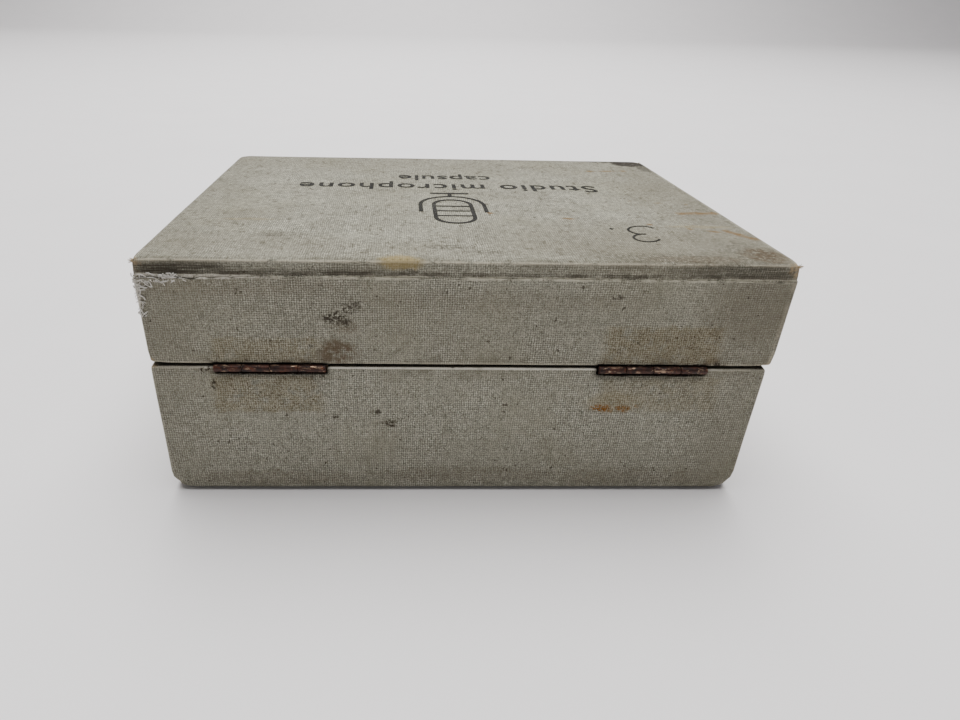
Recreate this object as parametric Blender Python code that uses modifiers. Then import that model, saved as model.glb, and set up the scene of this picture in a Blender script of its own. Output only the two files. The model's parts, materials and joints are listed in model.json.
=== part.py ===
"""Cloth-covered hinged case for a microphone capsule, with the capsule lying in its fitted insert.

The frame is +Z up, with the origin at the middle of the underside. The hook closes the case at -Y, and the
hinges are at +Y. The lid turns about an axis along X, just behind the rear face.
"""
import math

import bmesh
import bpy
from mathutils import Matrix, Vector

MM = 0.001

# Driving dimensions of the case
BASE_WIDTH = 141 * MM
CASE_DEPTH = 107 * MM
BASE_HEIGHT = 35.5 * MM
CASE_HEIGHT = 60.8 * MM
SEAM = 0.8 * MM                 # open joint between the base and the lid
LID_EXTRA_WIDTH = 0.8 * MM      # the lid came out a little wider than the base
LID_SHIFT = -0.5 * MM           # and sits a little to -X on its hinges

# Boards, cloth and lining
CLOTH = 0.5 * MM
WALL = 5.5 * MM
BOARD = 3 * MM
LINING = 0.6 * MM
GAP = 0.3 * MM                  # between two layers, or two pieces that touch
FOLD_RADIUS = 0.9 * MM
WALL_EDGE = 0.45 * MM           # rounding of the walls' edges
RIM_TURN_IN = 5 * MM            # cloth folded down inside the rim
UNDER_TURN_IN = 8 * MM          # cloth folded under the bottom board
UNDER_INSET = 2.5 * MM          # from the case's edge to the cloth glued over that fold
TOP_BAND = 3.2 * MM             # the top cloth is turned down this far over the sides
TOP_BAND_STEP = 0.25 * MM       # and the side strip stands proud of it

# Hinges
HINGE_LENGTH = 25 * MM
HINGE_OFFSET = 43.5 * MM        # from the middle of the case to the middle of a hinge
KNUCKLES = 4
BARREL_RADIUS = 1.1 * MM
PIN_RADIUS = 0.45 * MM
LEAF_HEIGHT = 10 * MM
LEAF = 0.6 * MM
AXIS_BEHIND = 0.5 * MM          # hinge axis behind the rear face
AXIS_BELOW = 0.45 * MM          # and below the middle of the seam
NAIL_SPACING = 15 * MM
NAIL_DROP = 6 * MM              # from the rim to the nails
NAIL_RADIUS = 0.45 * MM
NAIL_HEAD_RADIUS = 1.0 * MM
NAIL_LENGTH = 4.2 * MM

# Hook and stud at the front
HOOK_REACH = 15 * MM            # from the hook's screw to the stud
STUD_DROP = 6.5 * MM            # from the base's rim down to the stud
HOOK = 1 * MM
HOOK_OPEN = 55                  # degrees from hanging straight down, as it is left unhooked
SCREW_RADIUS = 1 * MM
STUD_RADIUS = 1.1 * MM
EYE_RADIUS = 3 * MM
BOWL_RADIUS = 3.6 * MM
FASTENER_DEPTH = 4.5 * MM       # how far the screw and the stud go into the wood

# Capsule, turned about an axis along X; its parts' places are given along that axis
AXIS_HEIGHT = 27.5 * MM
BASKET_RADIUS = 20.4 * MM
BASKET_WALL = 0.8 * MM
BASKET_END = 2 * MM
DOME_START = -21 * MM
DOME_LENGTH = 20 * MM
SHOULDER_RADIUS = 21 * MM
SHOULDER_LENGTH = 4 * MM
NECK_RADIUS = 16.5 * MM
NECK_START = BASKET_END + SHOULDER_LENGTH + 2 * GAP
NECK_END = 25 * MM
SLEEVE_RADIUS = 14.2 * MM
SLEEVE_END = 36 * MM
SLEEVE_WALL = 1.5 * MM
COLLAR_RADIUS = 18 * MM
COLLAR_LENGTH = 10 * MM
COLLAR_RIBS = 48
COLLAR_GROOVE = 0.35 * MM
PLUG_LENGTH = 4 * MM
PLUG_START = SLEEVE_END - PLUG_LENGTH
PIN_CIRCLE = 6 * MM
CONTACT_RADIUS = 1 * MM
CONTACT_LENGTH = 12 * MM
DISC_RADIUS = 16 * MM
DISC_CENTRE = -16 * MM
DISC_HALF = 2.5 * MM            # half its thickness without the clamp rings
RIM_WALL = 1.2 * MM
CLAMP_WIDTH = 3 * MM
CLAMP_THICKNESS = 1.5 * MM
FOIL = 0.3 * MM
TERMINAL_RADIUS = 1.2 * MM
POST_RADIUS = 5 * MM

# Insert and pad
INSERT_TOP = 24 * MM
RECESS_CLEARANCE = 0.6 * MM
FINGER_RADIUS = 11 * MM
PAD_THICKNESS = 5.6 * MM
PAD_INSET = 4 * MM

# Derived levels and half sizes
HALF_WIDTH = BASE_WIDTH / 2
HALF_DEPTH = CASE_DEPTH / 2
LID_HALF_WIDTH = (BASE_WIDTH + LID_EXTRA_WIDTH) / 2
LID_RIM = BASE_HEIGHT + SEAM
SKIN = CLOTH + GAP
FOLD_FOOT = SKIN                # the side cloth's fold lies on the cloth under the case
BOARD_FOOT = FOLD_FOOT + SKIN
BOARD_TOP = BOARD_FOOT + BOARD
WALL_FOOT = BOARD_TOP + GAP
WALL_TOP = BASE_HEIGHT - SKIN
LID_WALL_FOOT = LID_RIM + SKIN
LID_BOARD_FOOT = CASE_HEIGHT - SKIN - BOARD
LID_WALL_TOP = LID_BOARD_FOOT - GAP
REAR = HALF_DEPTH
FRONT = -HALF_DEPTH
MORTISE_FLOOR = REAR - SKIN - LEAF - 2 * GAP
HINGE_AXIS = Vector((0, REAR + AXIS_BEHIND, BASE_HEIGHT + SEAM / 2 - AXIS_BELOW))
STUD_HEIGHT = BASE_HEIGHT - STUD_DROP
HOOK_PIVOT = Vector((0, FRONT, STUD_HEIGHT + HOOK_REACH))

MATERIALS = {
    "book_cloth": ((0.33, 0.34, 0.30), 0.85, 0.0),
    "wood": ((0.50, 0.36, 0.22), 0.7, 0.0),
    "lining": ((0.16, 0.05, 0.06), 0.9, 0.0),
    "velvet": ((0.20, 0.03, 0.05), 0.95, 0.0),
    "hinge_steel": ((0.16, 0.09, 0.07), 0.55, 0.9),
    "nickel": ((0.62, 0.60, 0.56), 0.3, 1.0),
    "grille": ((0.55, 0.54, 0.50), 0.35, 1.0),
    "housing": ((0.10, 0.11, 0.11), 0.45, 0.3),
    "bakelite": ((0.05, 0.025, 0.015), 0.35, 0.0),
    "brass": ((0.70, 0.52, 0.25), 0.3, 1.0),
    "foil": ((0.80, 0.66, 0.35), 0.2, 1.0),
}


def clear_scene():
    for obj in list(bpy.data.objects):
        bpy.data.objects.remove(obj, do_unlink=True)


def collection(name):
    made = bpy.data.collections.new(name)
    bpy.context.scene.collection.children.link(made)
    return made


def make_materials():
    for name, (colour, roughness, metallic) in MATERIALS.items():
        made = bpy.data.materials.new(name)
        made.use_nodes = True
        shader = made.node_tree.nodes["Principled BSDF"]
        shader.inputs["Base Color"].default_value = (*colour, 1)
        shader.inputs["Roughness"].default_value = roughness
        shader.inputs["Metallic"].default_value = metallic


def place(obj, name, material=None, helper=False):
    """Names the object and puts it with the parts, or with the cutters if it is a helper."""
    obj.name = name
    obj.data.name = name
    for home in list(obj.users_collection):
        home.objects.unlink(obj)
    (CUTTERS if helper else PARTS).objects.link(obj)
    if helper:
        obj.hide_render = True
        obj.display_type = "WIRE"
    if material:
        obj.data.materials.clear()
        obj.data.materials.append(bpy.data.materials[material])
    return obj


def box(name, low, high, material=None, round_edges=0.0, helper=False):
    low, high = Vector(low), Vector(high)
    bpy.ops.mesh.primitive_cube_add(size=1, location=(low + high) / 2)
    obj = bpy.context.object
    obj.data.transform(Matrix.Diagonal((*(high - low), 1)))
    if round_edges:
        bevel(obj, round_edges)
    return place(obj, name, material, helper)


def bevel(obj, width, segments=2):
    modifier = obj.modifiers.new("rounded_edges", "BEVEL")
    modifier.width = width
    modifier.segments = segments
    modifier.limit_method = "ANGLE"
    modifier.angle_limit = math.radians(40)
    return modifier


def cylinder(name, radius, start, end, material=None, helper=False, sides=24, end_radius=None):
    """A cylinder, or a cone if end_radius is given, from the point start to the point end."""
    start, end = Vector(start), Vector(end)
    along = end - start
    bpy.ops.mesh.primitive_cone_add(
        vertices=sides, radius1=radius, radius2=radius if end_radius is None else end_radius,
        depth=along.length, location=(start + end) / 2,
        rotation=along.to_track_quat("Z", "Y").to_euler())
    obj = place(bpy.context.object, name, material, helper)
    smooth(obj)
    return obj


def smooth(obj, angle=35):
    obj.data.shade_smooth()
    obj.data.set_sharp_from_angle(angle=math.radians(angle))


def turned(name, profile, material, centre, rotation, sides=48, closed=True):
    """A profile of (radius, height) points spun about its own Z. The outer side runs from top to bottom."""
    mesh = bpy.data.meshes.new(name)
    count = len(profile)
    ends = count if closed else count - 1
    mesh.from_pydata([(radius, 0, height) for radius, height in profile],
                     [(i, (i + 1) % count) for i in range(ends)], [])
    obj = bpy.data.objects.new(name, mesh)
    obj.location = centre
    obj.rotation_euler = rotation
    screw = obj.modifiers.new("turned", "SCREW")
    screw.axis = "Z"
    screw.steps = screw.render_steps = sides
    screw.use_merge_vertices = True
    screw.merge_threshold = 0.00001
    screw.use_smooth_shade = True
    return place(obj, name, material)


def boolean(obj, other, operation):
    modifier = obj.modifiers.new(operation.lower(), "BOOLEAN")
    modifier.operation = operation
    modifier.solver = "EXACT"
    modifier.object = other
    return obj


def cut(obj, *cutters):
    for cutter in cutters:
        boolean(obj, cutter, "DIFFERENCE")
    return obj


def cut_cylinder(obj, name, radius, start, end):
    return cut(obj, cylinder(name, radius, start, end, helper=True))


def thicken(obj, thickness):
    modifier = obj.modifiers.new("thickness", "SOLIDIFY")
    modifier.thickness = thickness
    modifier.offset = -1
    modifier.use_even_offset = True


def folded_sheet(name, rings, thickness, material, capped=False):
    """A sheet folded round a box. Each ring is (half width, half depth, height), and the visible side of the
    sheet runs through them; it is thickened away from that side. A capped sheet starts with a flat panel."""
    bm = bmesh.new()
    half_x, half_y, height = rings[0]
    bmesh.ops.create_grid(bm, x_segments=1, y_segments=1, size=1)
    for vert in bm.verts:
        vert.co = (math.copysign(half_x, vert.co.x), math.copysign(half_y, vert.co.y), height)
    edges = list(bm.edges)
    if not capped:
        bmesh.ops.delete(bm, geom=list(bm.faces), context="FACES_ONLY")
    for half_x, half_y, height in rings[1:]:
        grown = bmesh.ops.extrude_edge_only(bm, edges=edges)["geom"]
        fresh = {item for item in grown if isinstance(item, bmesh.types.BMVert)}
        for vert in fresh:
            vert.co = (math.copysign(half_x, vert.co.x), math.copysign(half_y, vert.co.y), height)
        edges = [item for item in grown
                 if isinstance(item, bmesh.types.BMEdge) and set(item.verts) <= fresh]
    bmesh.ops.recalc_face_normals(bm, faces=bm.faces)
    outermost = max(bm.faces, key=lambda face: face.calc_center_median().x)
    if outermost.normal.x < 0:
        bmesh.ops.reverse_faces(bm, faces=bm.faces)
    mesh = bpy.data.meshes.new(name)
    bm.to_mesh(mesh)
    bm.free()
    obj = place(bpy.data.objects.new(name, mesh), name, material)
    folds = bevel(obj, FOLD_RADIUS, segments=3)
    folds.use_clamp_overlap = True
    thicken(obj, thickness)
    return obj


def lining_tray(name, half_x, half_y, floor, rim, material):
    """An open tray of lining: its panel lies at floor and its sides reach to rim. The lined side faces in."""
    return folded_sheet(name, [(half_x, half_y, floor), (half_x, half_y, rim)], LINING, material, capped=True)


# ---------------------------------------------------------------- hinges

def knuckle_spans(centre):
    """The (start, end) of each knuckle along X, from +X to -X."""
    length = (HINGE_LENGTH - (KNUCKLES - 1) * GAP) / KNUCKLES
    starts = [centre + HINGE_LENGTH / 2 - i * (length + GAP) for i in range(KNUCKLES)]
    return [(start, start - length) for start in starts]


def hinge_leaf(name, centre, direction, knuckles):
    """One leaf: a plate in the wood, and a barrel with a root at each of its knuckles.
    direction is -1 for the leaf on the base, which hangs down, and 1 for the leaf on the lid."""
    rim = BASE_HEIGHT if direction < 0 else LID_RIM
    rim_edge = rim + direction * BARREL_RADIUS
    far_edge = rim + direction * LEAF_HEIGHT
    face = REAR - SKIN - GAP
    half = HINGE_LENGTH / 2
    leaf = box(name, (centre - half, face - LEAF, min(rim_edge, far_edge)),
               (centre + half, face, max(rim_edge, far_edge)), "hinge_steel")
    reach = HINGE_AXIS.z + direction * 2 * BARREL_RADIUS
    for index in knuckles:
        start, end = knuckle_spans(centre)[index]
        root = box(f"{name}_root_{index}", (end, face - LEAF, min(HINGE_AXIS.z, reach)),
                   (start, HINGE_AXIS.y - BARREL_RADIUS * 0.4, max(HINGE_AXIS.z, reach)), helper=True)
        barrel = cylinder(f"{name}_barrel_{index}", BARREL_RADIUS, (start, *HINGE_AXIS.yz),
                          (end, *HINGE_AXIS.yz), helper=True, sides=20)
        boolean(leaf, root, "UNION")
        boolean(leaf, barrel, "UNION")
    cut_cylinder(leaf, name + "_bore", PIN_RADIUS + GAP, (centre + HINGE_LENGTH, *HINGE_AXIS.yz),
                 (centre - HINGE_LENGTH, *HINGE_AXIS.yz))
    return leaf


def nail(name, x, height, leaf, wall):
    """A countersunk nail through the leaf into the wall, with a hole in each."""
    outer = REAR - SKIN - GAP
    inner = outer - LEAF
    tip = outer - NAIL_LENGTH
    head = cylinder(name, NAIL_HEAD_RADIUS, (x, outer, height), (x, inner, height), "hinge_steel", sides=16,
                    end_radius=NAIL_RADIUS)
    shank = cylinder(name + "_shank", NAIL_RADIUS, (x, inner + LEAF / 4, height), (x, tip, height),
                     helper=True, sides=12)
    boolean(head, shank, "UNION")
    countersink = cylinder(name + "_countersink", NAIL_HEAD_RADIUS + 2 * GAP, (x, outer + LEAF, height),
                           (x, inner - GAP, height), helper=True, end_radius=NAIL_RADIUS + GAP)
    hole = cylinder(name + "_hole", NAIL_RADIUS + GAP, (x, outer, height), (x, tip - GAP, height),
                    helper=True, sides=12)
    cut(leaf, countersink)
    cut(wall, hole)
    return head


def nail_pair(prefix, centre, direction, leaf, wall):
    height = (BASE_HEIGHT if direction < 0 else LID_RIM) + direction * NAIL_DROP
    return [nail(f"{prefix}_nail_{number}", centre + side * NAIL_SPACING / 2, height, leaf, wall)
            for number, side in ((1, 1), (2, -1))]


def mortise(wall, centre, direction):
    """The shallow pocket that the leaf lies in, open at the rim."""
    rim = WALL_TOP if direction < 0 else LID_WALL_FOOT
    far = (BASE_HEIGHT if direction < 0 else LID_RIM) + direction * (LEAF_HEIGHT + GAP)
    near = rim - direction * WALL
    half = HINGE_LENGTH / 2 + GAP
    side = "right" if centre > 0 else "left"
    cut(wall, box(f"{wall.name}_{side}_mortise", (centre - half, MORTISE_FLOOR, min(near, far)),
                  (centre + half, REAR, max(near, far)), helper=True))


def cloth_notch(cloth, centre):
    """The cloth is cut away round the hinge's barrel."""
    half = HINGE_LENGTH / 2 + GAP
    tall = 2 * BARREL_RADIUS + GAP
    side = "right" if centre > 0 else "left"
    cut(cloth, box(f"{cloth.name}_{side}_notch", (centre - half, MORTISE_FLOOR, HINGE_AXIS.z - tall),
                   (centre + half, REAR + WALL, HINGE_AXIS.z + tall), helper=True))


def make_hinges(base_wall, lid_wall, base_cloth, lid_cloth):
    """Both hinges. The first and third knuckles from +X are the base's, and the others are the lid's."""
    lid_pieces = []
    for side, centre in (("right", HINGE_OFFSET), ("left", -HINGE_OFFSET)):
        base_leaf = hinge_leaf(f"{side}_hinge_base_leaf", centre, -1, (0, 2))
        lid_leaf = hinge_leaf(f"{side}_hinge_lid_leaf", centre, 1, (1, 3))
        half = HINGE_LENGTH / 2
        cylinder(f"{side}_hinge_pin", PIN_RADIUS, (centre + half, *HINGE_AXIS.yz),
                 (centre - half, *HINGE_AXIS.yz), "hinge_steel", sides=16)
        mortise(base_wall, centre, -1)
        mortise(lid_wall, centre, 1)
        nail_pair(f"{side}_hinge_base", centre, -1, base_leaf, base_wall)
        lid_pieces += [lid_leaf, *nail_pair(f"{side}_hinge_lid", centre, 1, lid_leaf, lid_wall)]
        cloth_notch(base_cloth, centre)
        cloth_notch(lid_cloth, centre)
    return lid_pieces


# ---------------------------------------------------------------- carcass and cloth

def shifted(obj, x):
    obj.location.x += x
    return obj


def four_walls(prefix, half_x, foot, top, shift=0.0):
    """Front and rear walls of the full width, with the side walls between them."""
    outer_x, outer_y = half_x - SKIN, HALF_DEPTH - SKIN
    inner_x, inner_y = outer_x - WALL, outer_y - WALL
    side_y = inner_y - GAP
    places = {
        "front": ((-outer_x, -outer_y), (outer_x, -inner_y)),
        "rear": ((-outer_x, inner_y), (outer_x, outer_y)),
        "left": ((-outer_x, -side_y), (-inner_x, side_y)),
        "right": ((inner_x, -side_y), (outer_x, side_y)),
    }
    return {side: shifted(box(f"{prefix}_{side}_wall", (*low, foot), (*high, top), "wood", WALL_EDGE), shift)
            for side, (low, high) in places.items()}


def inner_half(half_x):
    """Half width and half depth at the faces of the walls that look into the case."""
    return half_x - SKIN - WALL, HALF_DEPTH - SKIN - WALL


def make_base():
    walls = four_walls("base", HALF_WIDTH, WALL_FOOT, WALL_TOP)
    box("base_bottom_board", (-HALF_WIDTH + SKIN, FRONT + SKIN, BOARD_FOOT),
        (HALF_WIDTH - SKIN, REAR - SKIN, BOARD_TOP), "wood", BOARD * 0.4)
    inner_x, inner_y = inner_half(HALF_WIDTH)
    leg_x, leg_y = inner_x - SKIN, inner_y - SKIN
    side_cloth = folded_sheet("base_side_cloth", [
        (leg_x, leg_y, BASE_HEIGHT - RIM_TURN_IN),
        (leg_x, leg_y, BASE_HEIGHT),
        (HALF_WIDTH, HALF_DEPTH, BASE_HEIGHT),
        (HALF_WIDTH, HALF_DEPTH, FOLD_FOOT),
        (HALF_WIDTH - UNDER_TURN_IN, HALF_DEPTH - UNDER_TURN_IN, FOLD_FOOT),
    ], CLOTH, "book_cloth")
    under_x, under_y = HALF_WIDTH - UNDER_INSET, HALF_DEPTH - UNDER_INSET
    box("base_bottom_cloth", (-under_x, -under_y, 0), (under_x, under_y, CLOTH), "book_cloth")
    lining_tray("base_lining", inner_x - GAP, inner_y - GAP, WALL_FOOT, BASE_HEIGHT - RIM_TURN_IN - GAP,
                "lining")
    return walls, side_cloth


def make_lid():
    walls = four_walls("lid", LID_HALF_WIDTH, LID_WALL_FOOT, LID_WALL_TOP, LID_SHIFT)
    band_x, band_y = LID_HALF_WIDTH - TOP_BAND_STEP, HALF_DEPTH - TOP_BAND_STEP
    board = box("lid_top_board", (LID_SHIFT - band_x + SKIN, -band_y + SKIN, LID_BOARD_FOOT),
                (LID_SHIFT + band_x - SKIN, band_y - SKIN, LID_BOARD_FOOT + BOARD), "wood", FOLD_RADIUS / 2)
    inner_x, inner_y = inner_half(LID_HALF_WIDTH)
    leg_x, leg_y = inner_x - SKIN, inner_y - SKIN
    band_foot = CASE_HEIGHT - TOP_BAND
    side_cloth = shifted(folded_sheet("lid_side_cloth", [
        (leg_x, leg_y, LID_RIM + RIM_TURN_IN),
        (leg_x, leg_y, LID_RIM),
        (LID_HALF_WIDTH, HALF_DEPTH, LID_RIM),
        (LID_HALF_WIDTH, HALF_DEPTH, band_foot),
    ], CLOTH, "book_cloth"), LID_SHIFT)
    top_cloth = shifted(folded_sheet("lid_top_cloth", [
        (band_x, band_y, CASE_HEIGHT),
        (band_x, band_y, band_foot + GAP),
    ], CLOTH, "book_cloth", capped=True), LID_SHIFT)
    ceiling = LID_WALL_TOP
    lining = shifted(lining_tray("lid_lining", inner_x - GAP, inner_y - GAP, ceiling,
                                 LID_RIM + RIM_TURN_IN + GAP, "lining"), LID_SHIFT)
    pad_x, pad_y = inner_x - PAD_INSET, inner_y - PAD_INSET
    pad_top = ceiling - LINING - GAP
    pad = shifted(box("lid_pad", (-pad_x, -pad_y, pad_top - PAD_THICKNESS), (pad_x, pad_y, pad_top), "velvet",
                      PAD_THICKNESS / 3), LID_SHIFT)
    return walls, side_cloth, [board, side_cloth, top_cloth, lining, pad, *walls.values()]


# ---------------------------------------------------------------- hook, screw and stud

def make_hook(lid_wall, lid_cloth, base_wall, base_cloth):
    """The hook turns on a screw in the lid, and its bowl catches the stud in the base."""
    washer = 2 * GAP
    plate_back = FRONT - GAP - washer - GAP
    plate_front = plate_back - HOOK
    head_back = plate_front - GAP
    pivot_x, pivot_z = HOOK_PIVOT.x, HOOK_PIVOT.z

    def at(y, z=pivot_z):
        return (pivot_x, y, z)

    hook = cylinder("latch_hook", EYE_RADIUS, (0, 0, 0), (0, -HOOK, 0), "nickel", sides=32)
    hook.data.transform(hook.matrix_basis)
    hook.matrix_basis = Matrix.Identity(4)
    arm = box("hook_arm", (-EYE_RADIUS / 2, -HOOK, -HOOK_REACH), (EYE_RADIUS / 2, 0, 0), helper=True)
    bowl = cylinder("hook_bowl", BOWL_RADIUS, (0, 0, -HOOK_REACH), (0, -HOOK, -HOOK_REACH), helper=True,
                    sides=32)
    tab = cylinder("hook_tab", EYE_RADIUS / 2, (BOWL_RADIUS, 0, -HOOK_REACH - BOWL_RADIUS),
                   (BOWL_RADIUS, -HOOK, -HOOK_REACH - BOWL_RADIUS), helper=True)
    for piece in (arm, bowl, tab):
        boolean(hook, piece, "UNION")
    throat = STUD_RADIUS + GAP
    cutters = [
        cylinder("hook_eye", SCREW_RADIUS + GAP, (0, HOOK, 0), (0, -2 * HOOK, 0), helper=True),
        cylinder("hook_seat", throat, (0, HOOK, -HOOK_REACH), (0, -2 * HOOK, -HOOK_REACH), helper=True),
        box("hook_throat", (-2 * BOWL_RADIUS, -2 * HOOK, -HOOK_REACH - throat),
            (0, HOOK, -HOOK_REACH + throat + 2 * GAP), helper=True),
    ]
    cut(hook, *cutters)
    bevel(hook, HOOK / 8, segments=1)
    pivot = bpy.data.objects.new("hook_axis", None)
    PARTS.objects.link(pivot)
    pivot.location = at(plate_back)
    pivot.rotation_euler = (0, -math.radians(HOOK_OPEN), 0)
    for piece in (hook, arm, bowl, tab, *cutters):
        piece.parent = pivot

    fastener_end = FRONT + SKIN + FASTENER_DEPTH
    screw = cylinder("hook_screw", SCREW_RADIUS, at(fastener_end), at(head_back - GAP), "nickel")
    head = cylinder("hook_screw_head", 2.2 * SCREW_RADIUS, at(head_back), at(head_back - SCREW_RADIUS),
                    helper=True, end_radius=1.6 * SCREW_RADIUS)
    boolean(screw, head, "UNION")
    slot = box("hook_screw_slot", (-3 * SCREW_RADIUS, head_back - 2 * SCREW_RADIUS, pivot_z - GAP),
               (3 * SCREW_RADIUS, head_back - SCREW_RADIUS / 2, pivot_z + GAP), helper=True)
    cut(screw, slot)
    ring = cylinder("hook_washer", 2.6 * SCREW_RADIUS, at(FRONT - GAP), at(FRONT - GAP - washer), "nickel")
    bore = cylinder("hook_washer_bore", SCREW_RADIUS + GAP, at(0), at(2 * FRONT), helper=True)
    cut(ring, bore)
    for piece in (lid_wall, lid_cloth):
        cut_cylinder(piece, piece.name + "_screw_hole", SCREW_RADIUS + GAP,
                     at(fastener_end + GAP), at(2 * FRONT))

    stud = cylinder("hook_stud", STUD_RADIUS, at(fastener_end, STUD_HEIGHT),
                    at(head_back - GAP, STUD_HEIGHT), "nickel")
    knob = cylinder("hook_stud_head", 1.9 * STUD_RADIUS, at(head_back, STUD_HEIGHT),
                    at(head_back - STUD_RADIUS, STUD_HEIGHT), helper=True, end_radius=1.3 * STUD_RADIUS)
    boolean(stud, knob, "UNION")
    for piece in (base_wall, base_cloth):
        cut_cylinder(piece, piece.name + "_stud_hole", STUD_RADIUS + GAP,
                     at(fastener_end + GAP, STUD_HEIGHT), at(2 * FRONT, STUD_HEIGHT))
    return pivot, [screw, ring]


# ---------------------------------------------------------------- insert and capsule

def on_axis(x):
    return (x, 0, AXIS_HEIGHT)


def make_insert():
    """The block that the capsule lies in: a stepped trough for its basket, collar and pins, with room for a
    finger on each side of its neck."""
    inner_x, inner_y = inner_half(HALF_WIDTH)
    clear = GAP + LINING + GAP
    floor = WALL_FOOT + LINING + GAP
    block = box("insert_block", (-inner_x + clear, -inner_y + clear, floor),
                (inner_x - clear, inner_y - clear, INSERT_TOP), "velvet")
    troughs = {
        "basket": (SHOULDER_RADIUS + RECESS_CLEARANCE, DOME_START - DOME_LENGTH - RECESS_CLEARANCE,
                   BASKET_END + GAP + SHOULDER_LENGTH + RECESS_CLEARANCE, 48),
        "collar": (COLLAR_RADIUS + RECESS_CLEARANCE, 0,
                   NECK_END + GAP + COLLAR_LENGTH + RECESS_CLEARANCE, 48),
        "pin": (SLEEVE_RADIUS + RECESS_CLEARANCE, 0,
                SLEEVE_END + CONTACT_LENGTH / 2 + 2 * RECESS_CLEARANCE, 32),
    }
    for name, (radius, start, end, sides) in troughs.items():
        cut(block, cylinder(f"{name}_trough", radius, on_axis(start), on_axis(end), helper=True, sides=sides))
    neck_middle = (BASKET_END + NECK_END) / 2
    for name, y in (("front", -COLLAR_RADIUS), ("rear", COLLAR_RADIUS)):
        cut(block, cylinder(f"{name}_finger_hollow", FINGER_RADIUS, (neck_middle, y, floor + BOARD),
                            (neck_middle, y, CASE_HEIGHT), helper=True, sides=32))
    return block


def basket_profile(steps=8):
    """The basket's shell, a dome with an open cylinder: up its inside, over the rim and down its outside."""
    def side(radius, length):
        dome = [(radius * math.cos(turn), DOME_START - length * math.sin(turn))
                for turn in (i / steps * math.pi / 2 for i in range(steps))]
        return [(radius, BASKET_END), *dome, (0, DOME_START - length)]
    inside = side(BASKET_RADIUS - BASKET_WALL, DOME_LENGTH - BASKET_WALL)
    return inside[::-1] + side(BASKET_RADIUS, DOME_LENGTH)


def ribbed_collar(name, start, material):
    """A short tube whose outside is cut by grooves along its length."""
    bpy.ops.mesh.primitive_cylinder_add(vertices=2 * COLLAR_RIBS, radius=COLLAR_RADIUS, depth=COLLAR_LENGTH)
    obj = place(bpy.context.object, name, material)
    bm = bmesh.new()
    bm.from_mesh(obj.data)
    for vert in bm.verts:
        turn = round(math.atan2(vert.co.y, vert.co.x) / math.pi * COLLAR_RIBS)
        if turn % 2:
            vert.co.xy *= 1 - COLLAR_GROOVE / COLLAR_RADIUS
    bm.to_mesh(obj.data)
    bm.free()
    obj.data.transform(Matrix.Rotation(math.pi / 2, 4, "Y"))
    obj.location = on_axis(start + COLLAR_LENGTH / 2)
    cut_cylinder(obj, name + "_bore", SLEEVE_RADIUS + GAP, on_axis(start - COLLAR_LENGTH),
                 on_axis(start + 2 * COLLAR_LENGTH))
    return obj


def make_capsule_head():
    """Basket, shoulder, neck, grip collar, and the plug with its three contact pins."""
    along_x = (0, math.pi / 2, 0)
    turned("grille_basket", basket_profile(), "grille", on_axis(0), along_x, sides=36, closed=False)
    first = BASKET_END + GAP
    last = first + SHOULDER_LENGTH
    turned("shoulder_ring", [
        (SHOULDER_RADIUS, last - BASKET_WALL), (SHOULDER_RADIUS, first), (NECK_RADIUS, first),
        (NECK_RADIUS, last), (SHOULDER_RADIUS - BASKET_WALL, last),
    ], "nickel", on_axis(0), along_x)
    foot = NECK_START
    bore = SLEEVE_RADIUS - SLEEVE_WALL
    turned("neck_housing", [
        (0, foot + 2 * SLEEVE_WALL), (bore, foot + 2 * SLEEVE_WALL), (bore, SLEEVE_END),
        (SLEEVE_RADIUS, SLEEVE_END), (SLEEVE_RADIUS, NECK_END), (NECK_RADIUS, NECK_END),
        (NECK_RADIUS, foot + SLEEVE_WALL), (NECK_RADIUS - SLEEVE_WALL, foot), (0, foot),
    ], "housing", on_axis(0), along_x, closed=False)
    ribbed_collar("grip_collar", NECK_END + GAP, "nickel")
    plug = cylinder("plug_insulator", bore - GAP, on_axis(PLUG_START), on_axis(PLUG_START + PLUG_LENGTH),
                    "bakelite", sides=32)
    for number in range(3):
        angle = 2 * math.pi * number / 3 + math.pi / 2
        y, z = PIN_CIRCLE * math.cos(angle), AXIS_HEIGHT + PIN_CIRCLE * math.sin(angle)
        start = SLEEVE_END - CONTACT_LENGTH / 2
        end = start + CONTACT_LENGTH
        cut_cylinder(plug, f"pin_hole_{number}", CONTACT_RADIUS + GAP, (start - GAP, y, z), (end + GAP, y, z))
        pin = cylinder(f"contact_pin_{number + 1}", CONTACT_RADIUS, (start, y, z), (end, y, z), "brass",
                       sides=16)
        bevel(pin, CONTACT_RADIUS / 3)


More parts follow.
